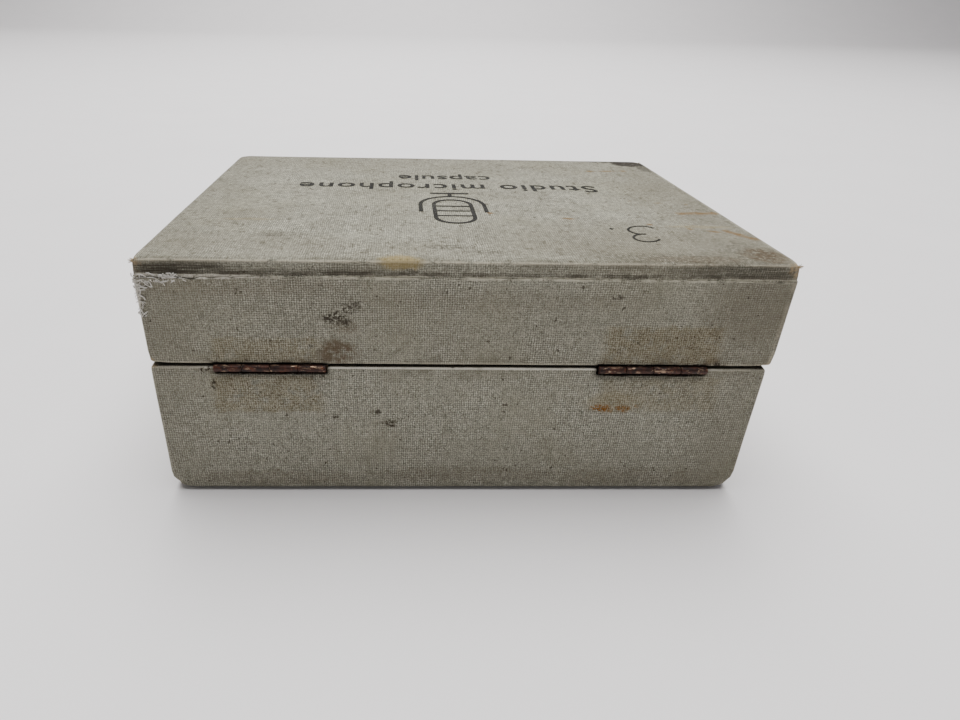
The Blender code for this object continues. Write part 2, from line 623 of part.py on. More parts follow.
def make_capsule_disc():
    """The pick-up disc stands on a post inside the basket, with a stretched foil on each face."""
    def up(height):
        return (DISC_CENTRE, 0, AXIS_HEIGHT + height)

    bore = DISC_RADIUS - RIM_WALL
    cylinder("capsule_backplate", bore - GAP, up(-DISC_HALF), up(DISC_HALF), "brass", sides=40)
    turned("capsule_body_ring", [
        (DISC_RADIUS, DISC_HALF), (DISC_RADIUS, -DISC_HALF), (bore, -DISC_HALF), (bore, DISC_HALF),
    ], "bakelite", up(0), (0, 0, 0), sides=40)
    near = DISC_HALF + GAP
    far = near + CLAMP_THICKNESS
    opening = DISC_RADIUS - CLAMP_WIDTH
    for name, side in (("upper", 1), ("lower", -1)):
        turned(f"{name}_clamp_ring", [
            (DISC_RADIUS, far), (DISC_RADIUS, near), (opening, near), (opening, far),
        ], "brass", up(0), (0 if side > 0 else math.pi, 0, 0), sides=40)
        cylinder(f"{name}_diaphragm", opening - GAP, up(side * near), up(side * (near + FOIL)), "foil",
                 sides=40)
        cylinder(f"{name}_terminal", TERMINAL_RADIUS, up(side * (near + FOIL + GAP)), up(side * (far + GAP)),
                 "brass", sides=16)
    cylinder("capsule_post", POST_RADIUS, on_axis(DISC_CENTRE + DISC_RADIUS + GAP), on_axis(NECK_START - GAP),
             "bakelite")


# ---------------------------------------------------------------- assembly

def hang_on(pivot, pieces):
    """Parents pieces to the pivot where they are."""
    bpy.context.view_layer.update()
    for piece in pieces:
        piece.parent = pivot
        piece.matrix_parent_inverse = pivot.matrix_world.inverted()


def main():
    base_walls, base_cloth = make_base()
    lid_walls, lid_cloth, lid_pieces = make_lid()
    lid_pieces += make_hinges(base_walls["rear"], lid_walls["rear"], base_cloth, lid_cloth)
    hook_pivot, hook_fittings = make_hook(lid_walls["front"], lid_cloth, base_walls["front"], base_cloth)
    make_insert()
    make_capsule_head()
    make_capsule_disc()
    lid_pivot = bpy.data.objects.new("lid_axis", None)
    PARTS.objects.link(lid_pivot)
    lid_pivot.location = HINGE_AXIS
    hang_on(lid_pivot, lid_pieces + hook_fittings + [hook_pivot])


clear_scene()
PARTS = collection("capsule_case")
CUTTERS = collection("cutters")
make_materials()
main()
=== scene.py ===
import json
import math
import random

import bmesh
import bpy
import numpy as np
from mathutils import Matrix, Vector, noise


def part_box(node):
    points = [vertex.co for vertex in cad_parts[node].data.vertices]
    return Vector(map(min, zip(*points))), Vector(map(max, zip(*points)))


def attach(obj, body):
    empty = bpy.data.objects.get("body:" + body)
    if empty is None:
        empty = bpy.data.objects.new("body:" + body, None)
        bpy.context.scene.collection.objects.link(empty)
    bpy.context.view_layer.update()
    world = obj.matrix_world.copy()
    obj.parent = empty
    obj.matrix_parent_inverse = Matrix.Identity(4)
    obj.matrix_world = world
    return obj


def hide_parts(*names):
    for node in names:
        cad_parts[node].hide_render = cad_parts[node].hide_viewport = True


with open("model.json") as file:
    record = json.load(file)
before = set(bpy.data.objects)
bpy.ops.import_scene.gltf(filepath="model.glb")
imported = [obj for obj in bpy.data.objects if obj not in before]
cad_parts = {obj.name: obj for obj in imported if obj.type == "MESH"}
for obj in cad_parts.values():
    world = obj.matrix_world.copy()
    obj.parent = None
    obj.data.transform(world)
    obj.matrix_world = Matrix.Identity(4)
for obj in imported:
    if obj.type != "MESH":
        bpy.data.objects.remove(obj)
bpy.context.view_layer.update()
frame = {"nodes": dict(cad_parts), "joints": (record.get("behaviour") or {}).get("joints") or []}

# A cloth-covered wooden case for a microphone capsule. Its front is -Y, its hinges are at +Y.
# Geometry is written in millimetres and scaled once, where each mesh is made.
MM = 0.001
THREAD = 0.52            # pitch of the cover's threads
CLOTH = 0.5
ARRIS = 0.8              # radius of the upright edges and of the fold under the base
TOP_FOLD = 0.55          # radius of the top sheet's fold
INNER_FACE = 7.1         # from the outside to the cloth that is turned in over the walls
TURN_IN = 5.0            # how far it reaches into the box
STRIP = 0.22             # thickness of the lid's side strip
HINGE_LENGTH = 25.0
HINGE_GAP = 0.16         # between two knuckles
KNUCKLES = 4
BARREL = 0.86            # radius of a knuckle
BORE = 0.52              # and of the hole in it
LEAF = 0.6               # thickness of a leaf
PIN = 0.45               # radius of the pin
NOTCH = 1.2              # how far the lid's cover is cut back from the hinge axis
BASE_NOTCH = 1.55        # and the base's
OWN_NOTCH = 0.95         # and from a knuckle that turns with it
NOTCH_DEPTH = 1.85       # how far the notches reach in from the rear
LEAF_REACH = 10.6        # from the hinge axis to a leaf's far edge
LEAF_LIFT = 0.12         # how much a leaf raises the cloth
TOP_RIPPLE = {"height": 0.05, "size": 18.0, "seed": 3}
INK_HEIGHT = 0.09        # of the print over the top sheet's middle plane


def span(node):
    """A node's lowest and highest corners, in millimetres."""
    low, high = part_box(node)
    return np.array(low) / MM, np.array(high) / MM


BASE_LOW, BASE_HIGH = span("base_side_cloth")
LID_LOW, LID_HIGH = span("lid_side_cloth")
TOP_LOW, TOP_HIGH = span("lid_top_cloth")
LID_HINGE = next(joint for joint in frame["joints"] if joint["name"] == "lid_hinge")
HINGE_AXIS = np.array(LID_HINGE["pos_m"]) / MM
HINGES = {side: float(sum(np.array(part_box(f"{side}_hinge_pin"))[:, 0]) / 2 / MM)
          for side in ("left", "right")}
REAR = BASE_HIGH[1]
SEAM_MIDDLE = float(BASE_HIGH[2] + LID_LOW[2]) / 2
STRIP_TOP = TOP_LOW[2] - 0.75       # about where the lid strip's cut edge is


def srgb(red, green, blue):
    """A colour from 0-255 values, as the shaders want it."""
    linear = [c / 12.92 if c <= 0.04045 else ((c + 0.055) / 1.055) ** 2.4
              for c in (red / 255, green / 255, blue / 255)]
    return (*linear, 1.0)


# ---- shader nodes ---------------------------------------------------------------------------------------

class Graph:
    """Short names for adding nodes to one material."""

    def __init__(self, name):
        self.material = bpy.data.materials.new(name)
        self.material.use_nodes = True
        self.tree = self.material.node_tree
        self.tree.nodes.clear()

    def put(self, value, socket):
        if isinstance(value, bpy.types.NodeSocket):
            self.tree.links.new(value, socket)
        else:
            socket.default_value = value

    def add(self, kind, plugs, out=0, **settings):
        node = self.tree.nodes.new("ShaderNode" + kind)
        for key, value in settings.items():
            setattr(node, key, value)
        for key, value in plugs.items():
            self.put(value, node.inputs[key])
        return node.outputs[out]

    def math(self, operation, *values):
        return self.add("Math", dict(enumerate(values)), operation=operation)

    def times(self, a, b, plus=None):
        if plus is None:
            return self.math("MULTIPLY", a, b)
        return self.math("MULTIPLY_ADD", a, b, plus)

    def most(self, a, b):
        return self.math("MAXIMUM", a, b)

    def least(self, a, b):
        return self.math("MINIMUM", a, b)

    def magnitude(self, value):
        return self.math("ABSOLUTE", value)

    def minus(self, a, b):
        return self.math("SUBTRACT", a, b)

    def shifted(self, point, by):
        return self.vector("ADD", point, by)

    def stretched(self, point, by):
        return self.vector("MULTIPLY", point, by)

    def tint(self, colour, factor, *paint):
        """The colour, covered by a paint (0-255 values) as far as the factor says."""
        return self.mix(factor, colour, srgb(*paint))

    def vector(self, operation, *values, out=0):
        return self.add("VectorMath", dict(enumerate(values)), out=out, operation=operation)

    def scaled(self, vector, factor):
        return self.add("VectorMath", {0: vector, "Scale": factor}, operation="SCALE")

    def parts(self, vector):
        node = self.tree.nodes.new("ShaderNodeSeparateXYZ")
        self.put(vector, node.inputs[0])
        return node.outputs

    def join(self, x, y, z):
        return self.add("CombineXYZ", {0: x, 1: y, 2: z})

    def mix(self, factor, a, b, blend="MIX"):
        return self.add("Mix", {0: factor, 6: a, 7: b}, out=2, data_type="RGBA", blend_type=blend)

    def shade(self, colour, factor):
        """The colour, brighter or darker by a factor."""
        return self.mix(1.0, colour, self.join(factor, factor, factor), "MULTIPLY")

    def ramp(self, value, start, end, low=0.0, high=1.0):
        """Runs smoothly from low to high while value goes from start to end."""
        return self.add("MapRange", {0: value, 1: start, 2: end, 3: low, 4: high},
                        interpolation_type="SMOOTHSTEP")

    def noise(self, vector, size, detail=2.0, rough=0.5, out=0):
        """Noise whose lumps are about size across, in the units of vector."""
        return self.add("TexNoise", {"Vector": vector, "Scale": 1 / size, "Detail": detail,
                                     "Roughness": rough}, out=out)

    def patchy(self, vector, size, start, end, low=0.0, high=1.0):
        """Rough noise, run smoothly from low to high between two of its levels."""
        return self.ramp(self.noise(vector, size, 4.0, 0.7), start, end, low, high)

    def jittered(self, vector, size, detail, rough, reach):
        """The vector, moved by up to about half of reach, in lumps of about size."""
        wander = self.noise(vector, size, detail, rough, out=1)
        return self.shifted(vector, self.scaled(self.vector("SUBTRACT", wander, (0.5, 0.5, 0.5)), reach))

    def place(self):
        """Where the point is on the closed case, in millimetres."""
        return self.scaled(self.add("TexCoord", {}, out="Object"), 1 / MM)

    def bump(self, height, millimetres):
        return self.add("Bump", {"Height": height, "Distance": millimetres * MM})

    def finish(self, colour, roughness, normal, **others):
        """Ends the graph. others holds the shader's other sockets."""
        plugs = {"Base Color": colour, "Roughness": roughness, "Normal": normal}
        plugs.update({key.replace("_", " "): value for key, value in others.items()})
        output = self.tree.nodes.new("ShaderNodeOutputMaterial")
        self.put(self.add("BsdfPrincipled", plugs), output.inputs["Surface"])
        return self.material

    def blots(self, point, spots, soft=0.35, square=False):
        """The greatest strength of the spots at point. A spot is (centre, reach, strength)."""
        total = 0.0
        for centre, reach, strength in spots:
            away = self.vector("DIVIDE", self.vector("SUBTRACT", point, centre), reach)
            if square:
                x, y, z = self.parts(self.vector("ABSOLUTE", away))
                far = self.most(self.most(x, y), z)
            else:
                far = self.vector("LENGTH", away, out=1)
            total = self.most(total, self.ramp(far, 1 + soft, 1 - soft, 0.0, strength))
        return total

    def patches(self, point, boxes, soft=0.12):
        """As blots, for spots with straight sides."""
        return self.blots(point, boxes, soft, square=True)

    def lines(self, point, strokes):
        """As blots, for straight strokes. A stroke is (start, end, half its width, strength)."""
        total = 0.0
        for start, end, width, strength in strokes:
            along = Vector(end) - Vector(start)
            ahead = self.vector("SUBTRACT", point, start)
            share = self.vector("DOT_PRODUCT", ahead, tuple(along / along.length_squared), out=1)
            nearest = self.scaled(tuple(along), self.ramp(share, 0.0, 1.0))
            away = self.vector("LENGTH", self.vector("SUBTRACT", ahead, nearest), out=1)
            total = self.most(total, self.ramp(away, width * 1.6, width * 0.4, 0.0, strength))
        return total


def weave(g, thread):
    """Plain weave. Returns the height of its surface, 0 to 1, and the tone of each thread, about 1."""
    u, v, _ = g.parts(g.jittered(thread, 9.0, 2.0, 0.5, 1.5))
    across, along = g.times(u, math.pi), g.times(v, math.pi)
    column, row = g.math("FLOOR", u), g.math("FLOOR", v)
    sine_u, sine_v = g.math("SINE", across), g.math("SINE", along)
    sign_u = g.math("COSINE", g.times(column, math.pi))
    sign_v = g.math("COSINE", g.times(row, math.pi))
    sway_u = g.times(g.times(sine_v, sign_u), 0.4, plus=0.6)
    sway_v = g.times(g.times(sine_u, sign_v), -0.4, plus=0.6)
    warp = g.times(g.times(sine_u, sign_u), sway_u)
    weft = g.times(g.times(sine_v, sign_v), sway_v)
    height = g.most(warp, weft)
    tone_u = g.noise(g.join(g.times(column, 7.31), g.times(v, 0.07), 1.7), 1.0, 1.0)
    tone_v = g.noise(g.join(g.times(u, 0.07), g.times(row, 7.31), 9.1), 1.0, 1.0)
    over = g.math("GREATER_THAN", warp, weft)
    tone = g.add("Mix", {0: over, 2: tone_v, 3: tone_u}, data_type="FLOAT")
    return height, g.times(tone, 0.5, plus=0.75)


def edge_distance(g, point):
    """How far the point on the case's skin is from the nearest fold or rim, in millimetres."""
    x, y, z = g.parts(point)
    from_side = g.minus(float(BASE_HIGH[0]), g.magnitude(x))
    from_end = g.minus(float(REAR), g.magnitude(y))
    from_top = g.minus(float(TOP_HIGH[2]), z)
    seam = g.magnitude(g.minus(z, SEAM_MIDDLE))
    seam = g.minus(seam, float(LID_LOW[2] - BASE_HIGH[2]) / 2)
    from_level = g.least(g.least(z, from_top), seam)
    near = g.least(from_side, from_end)
    far = g.most(from_side, from_end)
    return g.most(near, g.least(far, from_level))


# ---- marks, painted shade and painted highlights on the cover: (centre, reach, strength), in millimetres on the closed case ---

REAR_FACE, TOP_FACE = round(float(REAR), 2), round(float(TOP_HIGH[2]), 2)


def behind(x, z, width, height, strength):
    """A mark on the rear face."""
    return (x, REAR_FACE, z), (width, 3, height), strength


def ahead(x, z, width, height, strength):
    """A mark on the front face."""
    return (x, -REAR_FACE, z), (width, 3, height), strength


def above(x, y, width, depth, strength):
    """A mark on the top."""
    return (x, y, TOP_FACE), (width, depth, 3), strength


def stroke_above(start, end, width, strength):
    """A stroke on the top: (start, end, half its width, strength)."""
    return (*start, TOP_FACE), (*end, TOP_FACE), width, strength


STAINS = [
    behind(28.3, 39.4, 4.4, 3.2, 0.85), behind(26.5, 45.6, 3.0, 1.6, 0.4),
    behind(-57.5, 37.0, 3.0, 1.2, 0.5), behind(32, 36.9, 9, 0.9, 0.45), behind(-2, 5.0, 24, 2.4, 0.3),
    behind(-44, 4.4, 22, 2.8, 0.28), behind(44, 4.2, 20, 2.2, 0.3), above(-66, 47.5, 4.6, 5.0, 0.8),
    above(-50, 50.5, 11, 2.4, 0.5), behind(-9, 52, 30, 2.2, 0.14), behind(50, 55, 24, 2.4, 0.22),
    ((-70.5, 20, 10), (3, 26, 6), 0.3), ((70.5, -10, 30), (3, 22, 5), 0.25), ahead(0, 30, 15, 5, 0.3),
    ahead(22, 8, 16, 4, 0.25), ahead(4, 50, 9, 3, 0.35), ahead(-40, 22, 5, 3, 0.45),
    ahead(-52, 4, 12, 2, 0.4), ((70.5, 30, 52), (3, 9, 2.5), 0.4), ((70.5, -34, 7), (3, 12, 3), 0.4),
    ((-71, -24, 46), (3, 6, 3), 0.35),
]
SPECKS = [
    behind(28.6, 47.8, 2.8, 1.5, 0.9), behind(26.2, 46.9, 1.5, 1.1, 0.85),
    behind(25.2, 50.3, 1.9, 1.3, 0.8), behind(23.9, 51.6, 0.9, 0.6, 0.7),
    behind(-32.8, 53.2, 1.8, 0.5, 0.75), behind(-38.6, 54.6, 1.1, 0.4, 0.55),
    behind(-58.2, 36.6, 1.8, 0.6, 0.9), behind(29.2, 22.3, 0.9, 0.5, 0.8),
    behind(19.8, 23.6, 1.2, 0.9, 0.85), behind(16.6, 20.2, 1.7, 0.9, 0.9),
    behind(14.2, 21.6, 0.7, 0.5, 0.8), above(26.2, -50.2, 1.6, 0.7, 0.6), behind(12, 58.4, 1.2, 0.4, 0.6),
    behind(56.6, 31.2, 0.35, 2.3, 0.9), behind(58.3, 35.0, 1.8, 0.6, 0.95), behind(-12, 13, 0.6, 0.5, 0.5),
    above(-25, -20, 0.7, 0.5, 0.6), above(42, -33, 0.8, 0.5, 0.6), above(4, 44, 5.0, 1.6, 0.6),
    above(-4, 47, 3.6, 1.4, 0.5), above(42, 36, 7, 2.2, 0.4), above(-47, 49.5, 20, 3.4, 0.4),
    above(-63, 45, 6, 7, 0.42), above(-20, -44, 2.6, 1.2, 0.6), above(-26, -40, 2.0, 0.8, 0.5),
]
CHIP = [
    ((-65.6, -49.6, 61.0), (6.4, 5.2, 1.7), 1.0), ((-58.5, -52.6, 61.0), (7.5, 2.0, 1.4), 0.95),
    ((-69, -44, 61.0), (2.4, 8.0, 1.7), 0.6),
]
RUST = [
    behind(-33.2, 25.0, 2.3, 0.9, 0.95), behind(-38.6, 24.9, 1.6, 0.8, 0.8),
    behind(-35.7, 24.2, 0.9, 0.5, 0.6), behind(-41.8, 25.6, 0.6, 0.4, 0.6),
]
SOIL = [
    above(0, -44, 70, 14, 0.2), behind(-64, 50, 13, 9, 0.55), behind(36, 50, 32, 8, 0.25),
    behind(0, 47, 70, 10, 0.2), behind(-52, 42, 20, 5, 0.3), above(-42, 40, 34, 15, 0.42),
    above(48, 44, 22, 9, 0.28), above(-62, 0, 12, 50, 0.22), behind(0, 9, 60, 6, 0.12),
    behind(64, 44, 10, 14, 0.2), behind(-64, 44, 10, 14, 0.25), above(52, 20, 9, 7, 0.25),
    behind(-64, 15, 10, 14, 0.2), above(0, 48, 70, 6, 0.12),
]
# dirt and painted shade in the step on the band just above the lid strip's cut edge
CREASE_DIRT_AND_SHADE = [
    ((0, 53.3, 57.85), (72, 3, 0.42), 0.75), ((0, -53.3, 57.85), (72, 3, 0.42), 0.7),
    ((70.2, 0, 57.85), (3, 54, 0.42), 0.7), ((-71.2, 0, 57.85), (3, 54, 0.42), 0.7),
]
# painted shade on the top sheet's band, in level streaks; darkest over the strip where it has come unstuck
BAND_SHADE = [
    ((62, 53.4, 58.7), (14, 3, 1.5), 0.95), ((34, 53.4, 58.2), (20, 3, 0.8), 0.5),
    ((-60, 53.4, 59.2), (15, 3, 1.5), 0.7),
]
# bare linen along the torn edge, and a painted highlight down the rear corner
TORN_EDGE_AND_HIGHLIGHT = [
    behind(58, 57.05, 13, 0.4, 0.95), ((70.3, 53.4, 53), (0.9, 1.3, 5), 0.7),
]
# the lid strip's cut edge: pale frayed threads, and a painted highlight where the edge faces up
FRAYED_EDGE_AND_HIGHLIGHT = [
    behind(0, 57.1, 72, 0.35, 0.8), ahead(0, 57.1, 72, 0.35, 0.8), ((70.4, 0, 57.1), (3, 54, 0.35), 0.8),
    ((-71.4, 0, 57.1), (3, 54, 0.35), 0.8),
]
YELLOW = [
    ((14.5, 53.0, 60.4), (4.4, 3.4, 1.6), 0.7), behind(-36, 26.5, 6.5, 2.8, 0.18),
    above(-60, 26, 8, 1.2, 0.25), above(52, 24, 6.5, 0.9, 0.22),
]
STREAKS = [
    stroke_above((-9, 16), (-48, 24.6), 0.75, 0.9), stroke_above((-60, 14), (-69, 13.4), 1.2, 0.9),
    stroke_above((-65.5, 29.5), (-69.4, 35.5), 1.1, 0.9), stroke_above((-57, 28), (-67, 32), 0.7, 0.8),
    stroke_above((-48.5, -36), (-60.5, -37.2), 0.9, 0.9), stroke_above((-50, 2), (-65, 5), 0.5, 0.6),
]
SCUFFS = [
    stroke_above((58.5, 18.5), (45.5, 29.5), 0.8, 0.4), stroke_above((61, 27), (53, 34), 0.6, 0.35),
    stroke_above((-14, -50), (-17, -38), 0.3, 0.45), stroke_above((20, -30), (31, -41), 0.25, 0.35),
    stroke_above((52, -8), (60, 6), 0.35, 0.3), stroke_above((12, 38), (2, 47), 0.9, 0.3),
]
LEAF_STAINS = [
    behind(-44.8, 41.4, 13.0, 4.7, 0.85), behind(-46.3, 28.4, 14.0, 4.6, 0.55),
    behind(44.2, 39.4, 11.6, 3.4, 0.7), behind(44.6, 28.4, 12.2, 4.9, 0.8),
]
# painted shade round each hinge's barrel, centred a little below its axis
HINGE_SHADE = [((x, REAR_FACE, float(HINGE_AXIS[2]) - 0.25), (12.9, 3.5, 1.55), 1.0)
              for x in HINGES.values()]
WORN_CORNERS = [((x, y, z), (2.1, 2.1, 1.9), 0.85) for x in (-70.9, 70.6) for y in (-53.3, 53.3)
                for z in (1.6, 60.2)]
WORN_CORNERS += [((x, y, 36), (1.5, 1.5, 1.5), 0.7) for x in (-71, 70.4) for y in (-53.3, 53.3)]


def painted_threads(g, point, height, tone, grain, coat):
    """The cloth's colour, with painted shade in the weave's gaps and painted highlights on its crowns.
    height, tone and grain are the weave's; coat is the paint that fills it.
    """
    # painted shade in the gaps between the threads, lighter where the coat fills them
    gap_shade = g.mix(coat, srgb(66, 64, 54), srgb(104, 102, 89))
    colour = g.mix(g.ramp(height, 0.05, 0.6), gap_shade, srgb(152, 150, 135))
    # painted highlights on the crowns of the threads, strongest where the coat is thin
    crown_highlight = g.ramp(g.times(grain, 0.5, plus=height), 0.98, 1.2)
    colour = g.tint(colour, g.times(crown_highlight, g.ramp(coat, 0.0, 1.0, 0.75, 0.2)), 196, 193, 176)
    colour = g.shade(colour, tone)
    speckle = g.ramp(g.noise(point, 1.2, 4.0, 0.75), 0.3, 0.7, 0.84, 1.13)
    colour = g.shade(colour, g.times(g.ramp(grain, 0.3, 0.7, 0.55, 1.34), speckle))
    pits = g.ramp(g.noise(g.shifted(point, (5.0, 60.0, 9.0)), 0.55, 2.0, 0.6), 0.6, 0.68, 0.0, 0.45)
    colour = g.tint(colour, pits, 62, 58, 48)
    return g.tint(colour, g.ramp(g.noise(point, 26.0, 3.0, 0.55), 0.45, 0.7, 0.0, 0.35), 132, 128, 108)


def handled(g, point, colour):
    """Soil and rubbing from years of use."""
    # the top is dulled and speckled
    x, y, z = g.parts(point)
    on_top = g.math("GREATER_THAN", z, float(TOP_HIGH[2]) - 0.35)
    dulled = g.ramp(g.noise(g.stretched(point, (0.7, 1.0, 1.0)), 10.0, 5.0, 0.7), 0.34, 0.66, 0.04, 0.3)
    colour = g.tint(colour, g.times(on_top, dulled), 92, 87, 73)
    gritty = g.ramp(g.noise(g.shifted(point, (70.0, 3.0, 0.0)), 0.9, 3.0, 0.75), 0.32, 0.68, -0.3, 0.2)
    colour = g.shade(colour, g.times(gritty, on_top, plus=1.0))
    spots = g.noise(g.stretched(point, (1.0, 0.55, 1.0)), 1.5, 4.0, 0.75)
    spots = g.times(g.ramp(spots, 0.53, 0.68, 0.0, 0.72), g.times(on_top, 0.6, plus=0.4))
    colour = g.tint(colour, spots, 70, 64, 52)
    # soil towards the ends, and near folds and rims
    edge = edge_distance(g, point)
    grime = g.times(g.ramp(edge, 4.5, 0.3), g.patchy(point, 7.0, 0.4, 0.7, 0.1))
    grime = g.most(g.times(grime, 0.6), g.ramp(g.magnitude(x), 48.0, 71.0, 0.0, 0.3))
    colour = g.tint(colour, grime, 92, 87, 73)
    # paint rubbed off on the folds themselves
    rub = g.times(g.ramp(edge, 0.75, 0.25), g.patchy(point, 3.5, 0.36, 0.52))
    rub = g.times(rub, g.ramp(g.magnitude(y), 51.0, 53.0, 0.3, 1.0))
    return g.tint(colour, g.times(rub, g.ramp(z, 57.0, 60.0, 0.35, 0.75)), 200, 192, 170)


def rims(g, point, colour):
    """The rims: dust and painted shade in the joint between lid and base, and a painted highlight along the
    base's rounded edge.
    """
    x, y, z = g.parts(point)
    from_seam = g.magnitude(g.minus(z, SEAM_MIDDLE))
    inset = g.least(g.minus(float(BASE_HIGH[0]), g.magnitude(x)), g.minus(float(REAR), g.magnitude(y)))
    # dust and painted shade, near black, in the joint between lid and base, fading towards the inside
    joint_dust_and_shade = g.times(g.ramp(from_seam, 0.65, 0.45), g.ramp(inset, 0.25, 0.8, 0.0, 0.8))
    joint_dust_and_shade = g.times(joint_dust_and_shade, g.ramp(inset, 6.5, 2.5, 0.35, 1.0))
    colour = g.tint(colour, joint_dust_and_shade, 38, 33, 26)
    # a painted highlight along the base rim's rounded edge, fading towards the ends
    rim_highlight = g.times(g.ramp(from_seam, 0.95, 0.6), g.ramp(inset, 0.5, 0.2))
    rim_highlight = g.times(rim_highlight, g.math("LESS_THAN", z, SEAM_MIDDLE))
    rim_highlight = g.times(rim_highlight, g.patchy(point, 4.0, 0.3, 0.5, 0.4, 0.95))
    rim_highlight = g.times(rim_highlight, g.ramp(g.magnitude(x), 64.0, 52.0, 0.2, 1.0))
    return g.tint(colour, rim_highlight, 226, 221, 206)


def marked(g, point, colour, fine, sunk):
    """The marks in the tables above. sunk says how deep in the weave the point is. Also returns how far the
    corners are worn."""
    ragged, band = g.jittered(point, 2.2, 4.0, 0.65, 3.4), g.jittered(point, 5.0, 4.0, 0.6, 0.9)
    colour = g.tint(colour, g.blots(ragged, SOIL, 0.6), 100, 94, 79)
    # dirt and painted shade in the step above the strip's cut edge
    crease = g.times(g.patches(band, CREASE_DIRT_AND_SHADE, 0.4), g.patchy(point, 6.0, 0.3, 0.6))
    colour = g.tint(colour, crease, 62, 56, 46)
    # painted shade on the band, broken into level streaks
    shade_streaks = g.patchy(g.stretched(point, (0.12, 1.0, 2.2)), 1.0, 0.3, 0.62, 0.35, 1.0)
    colour = g.tint(colour, g.times(g.blots(band, BAND_SHADE, 0.6), shade_streaks), 52, 47, 38)
    # pale frayed threads and a painted highlight along the strip's cut edge
    frayed_and_lit = g.times(g.patches(band, FRAYED_EDGE_AND_HIGHLIGHT, 0.4), g.patchy(point, 4.0, 0.4, 0.6))
    colour = g.tint(colour, frayed_and_lit, 192, 186, 166)
    # bare linen at the tear, with a painted highlight down the corner
    torn = g.times(g.blots(band, TORN_EDGE_AND_HIGHLIGHT, 0.4), g.ramp(fine, 0.3, 0.5))
    colour = g.tint(colour, torn, 222, 216, 202)
    leaf = g.times(g.patches(ragged, LEAF_STAINS), g.ramp(g.noise(point, 2.4, 3.0, 0.7), 0.28, 0.56))
    pocks = g.ramp(g.noise(g.shifted(point, (3.0, 0.0, 40.0)), 0.42, 2.0), 0.57, 0.66, 0.0, 0.9)
    colour = g.tint(colour, g.times(leaf, 0.42), 122, 110, 77)
    colour = g.tint(colour, g.times(leaf, g.most(g.times(sunk, 0.6), pocks)), 58, 44, 29)
    colour = g.tint(colour, g.blots(ragged, YELLOW), 136, 119, 74)
    worn_off = g.patchy(point, 1.8, 0.3, 0.56, 0.4, 1.0)
    colour = g.tint(colour, g.times(g.lines(band, STREAKS), worn_off), 108, 84, 52)
    colour = g.tint(colour, g.times(g.lines(band, SCUFFS), worn_off), 76, 71, 60)
    brown = g.times(g.blots(ragged, STAINS), g.ramp(g.noise(point, 1.6, 3.0, 0.7), 0.25, 0.6))
    colour = g.tint(colour, brown, 84, 70, 52)
    rust = g.times(g.blots(ragged, RUST), g.ramp(g.noise(point, 0.6, 3.0, 0.7), 0.42, 0.54, 0.1, 1.0))
    colour = g.mix(rust, colour, g.mix(g.ramp(sunk, 0.0, 0.6), srgb(130, 84, 28), srgb(36, 21, 9)))
    specks = g.times(g.blots(ragged, SPECKS), g.ramp(g.noise(point, 0.8, 3.0, 0.7), 0.43, 0.55))
    strewn = g.ramp(g.noise(g.shifted(point, (31.0, 7.0, 0.0)), 1.3, 1.0), 0.735, 0.775, 0.0, 0.7)
    colour = g.tint(colour, g.most(specks, strewn), 46, 39, 30)
    chip = g.times(g.blots(ragged, CHIP, 0.2), g.ramp(fine, 0.25, 0.5, 0.6, 1.0))
    colour = g.tint(colour, chip, 46, 41, 35)
    # painted shade round the hinge barrels
    hinge_shade = g.times(g.patches(band, HINGE_SHADE, 0.12), g.ramp(fine, 0.2, 0.5, 0.6, 1.0))
    colour = g.tint(colour, hinge_shade, 30, 21, 15)
    worn = g.times(g.blots(ragged, WORN_CORNERS), g.ramp(fine, 0.3, 0.6))
    return g.tint(colour, worn, 150, 132, 104), worn


def book_cloth(name, ink=False):
    """Painted linen book cloth, with its marks. With ink, it is a print on that cloth."""
    g = Graph(name)
    point = g.place()
    height, tone = weave(g, g.add("UVMap", {}, uv_map="threads"))
    grain, fine = g.noise(point, 0.32, 2.0, 0.6), g.noise(point, 0.7, 2.0)
    # the coat fills the weave in some places, and in others it is worn down to the threads
    coat = g.ramp(g.noise(g.shifted(point, (0.0, 0.0, 90.0)), 17.0, 4.0, 0.6), 0.4, 0.62)
    colour = handled(g, point, painted_threads(g, point, height, tone, grain, coat))
    sunk = g.ramp(g.times(grain, 0.7, plus=height), 0.95, 0.45)
    colour, worn = marked(g, point, rims(g, point, colour), fine, sunk)
    if ink:
        cover = g.times(g.noise(point, 1.4, 4.0, 0.7), -0.9, plus=g.math("ADD", height, 0.62))
        colour = g.tint(colour, g.ramp(cover, 0.24, 0.46, 0.0, 0.96), 26, 26, 25)
    rough = g.ramp(g.noise(point, 5.0, 4.0, 0.6), 0.3, 0.7, 0.8, 0.95)
    relief = g.times(height, g.ramp(coat, 0.0, 1.0, 1.0, 0.45))
    surface = g.times(grain, 0.55, plus=g.times(fine, 0.5, plus=relief))
    normal = g.bump(g.times(worn, 0.4, plus=surface), 0.12)
    return g.finish(colour, rough, normal, Specular_IOR_Level=0.14)


def loose_thread(name, light, dark):
    """Bare twisted cotton or linen."""
    g = Graph(name)
    point = g.place()
    colour = g.mix(g.noise(point, 1.2, 3.0), dark, light)
    twist = g.add("TexWave", {"Vector": point, "Scale": 4.0, "Distortion": 2.0}, out=1)
    return g.finish(colour, g.ramp(twist, 0.0, 1.0, 0.8, 0.95), g.bump(twist, 0.04))


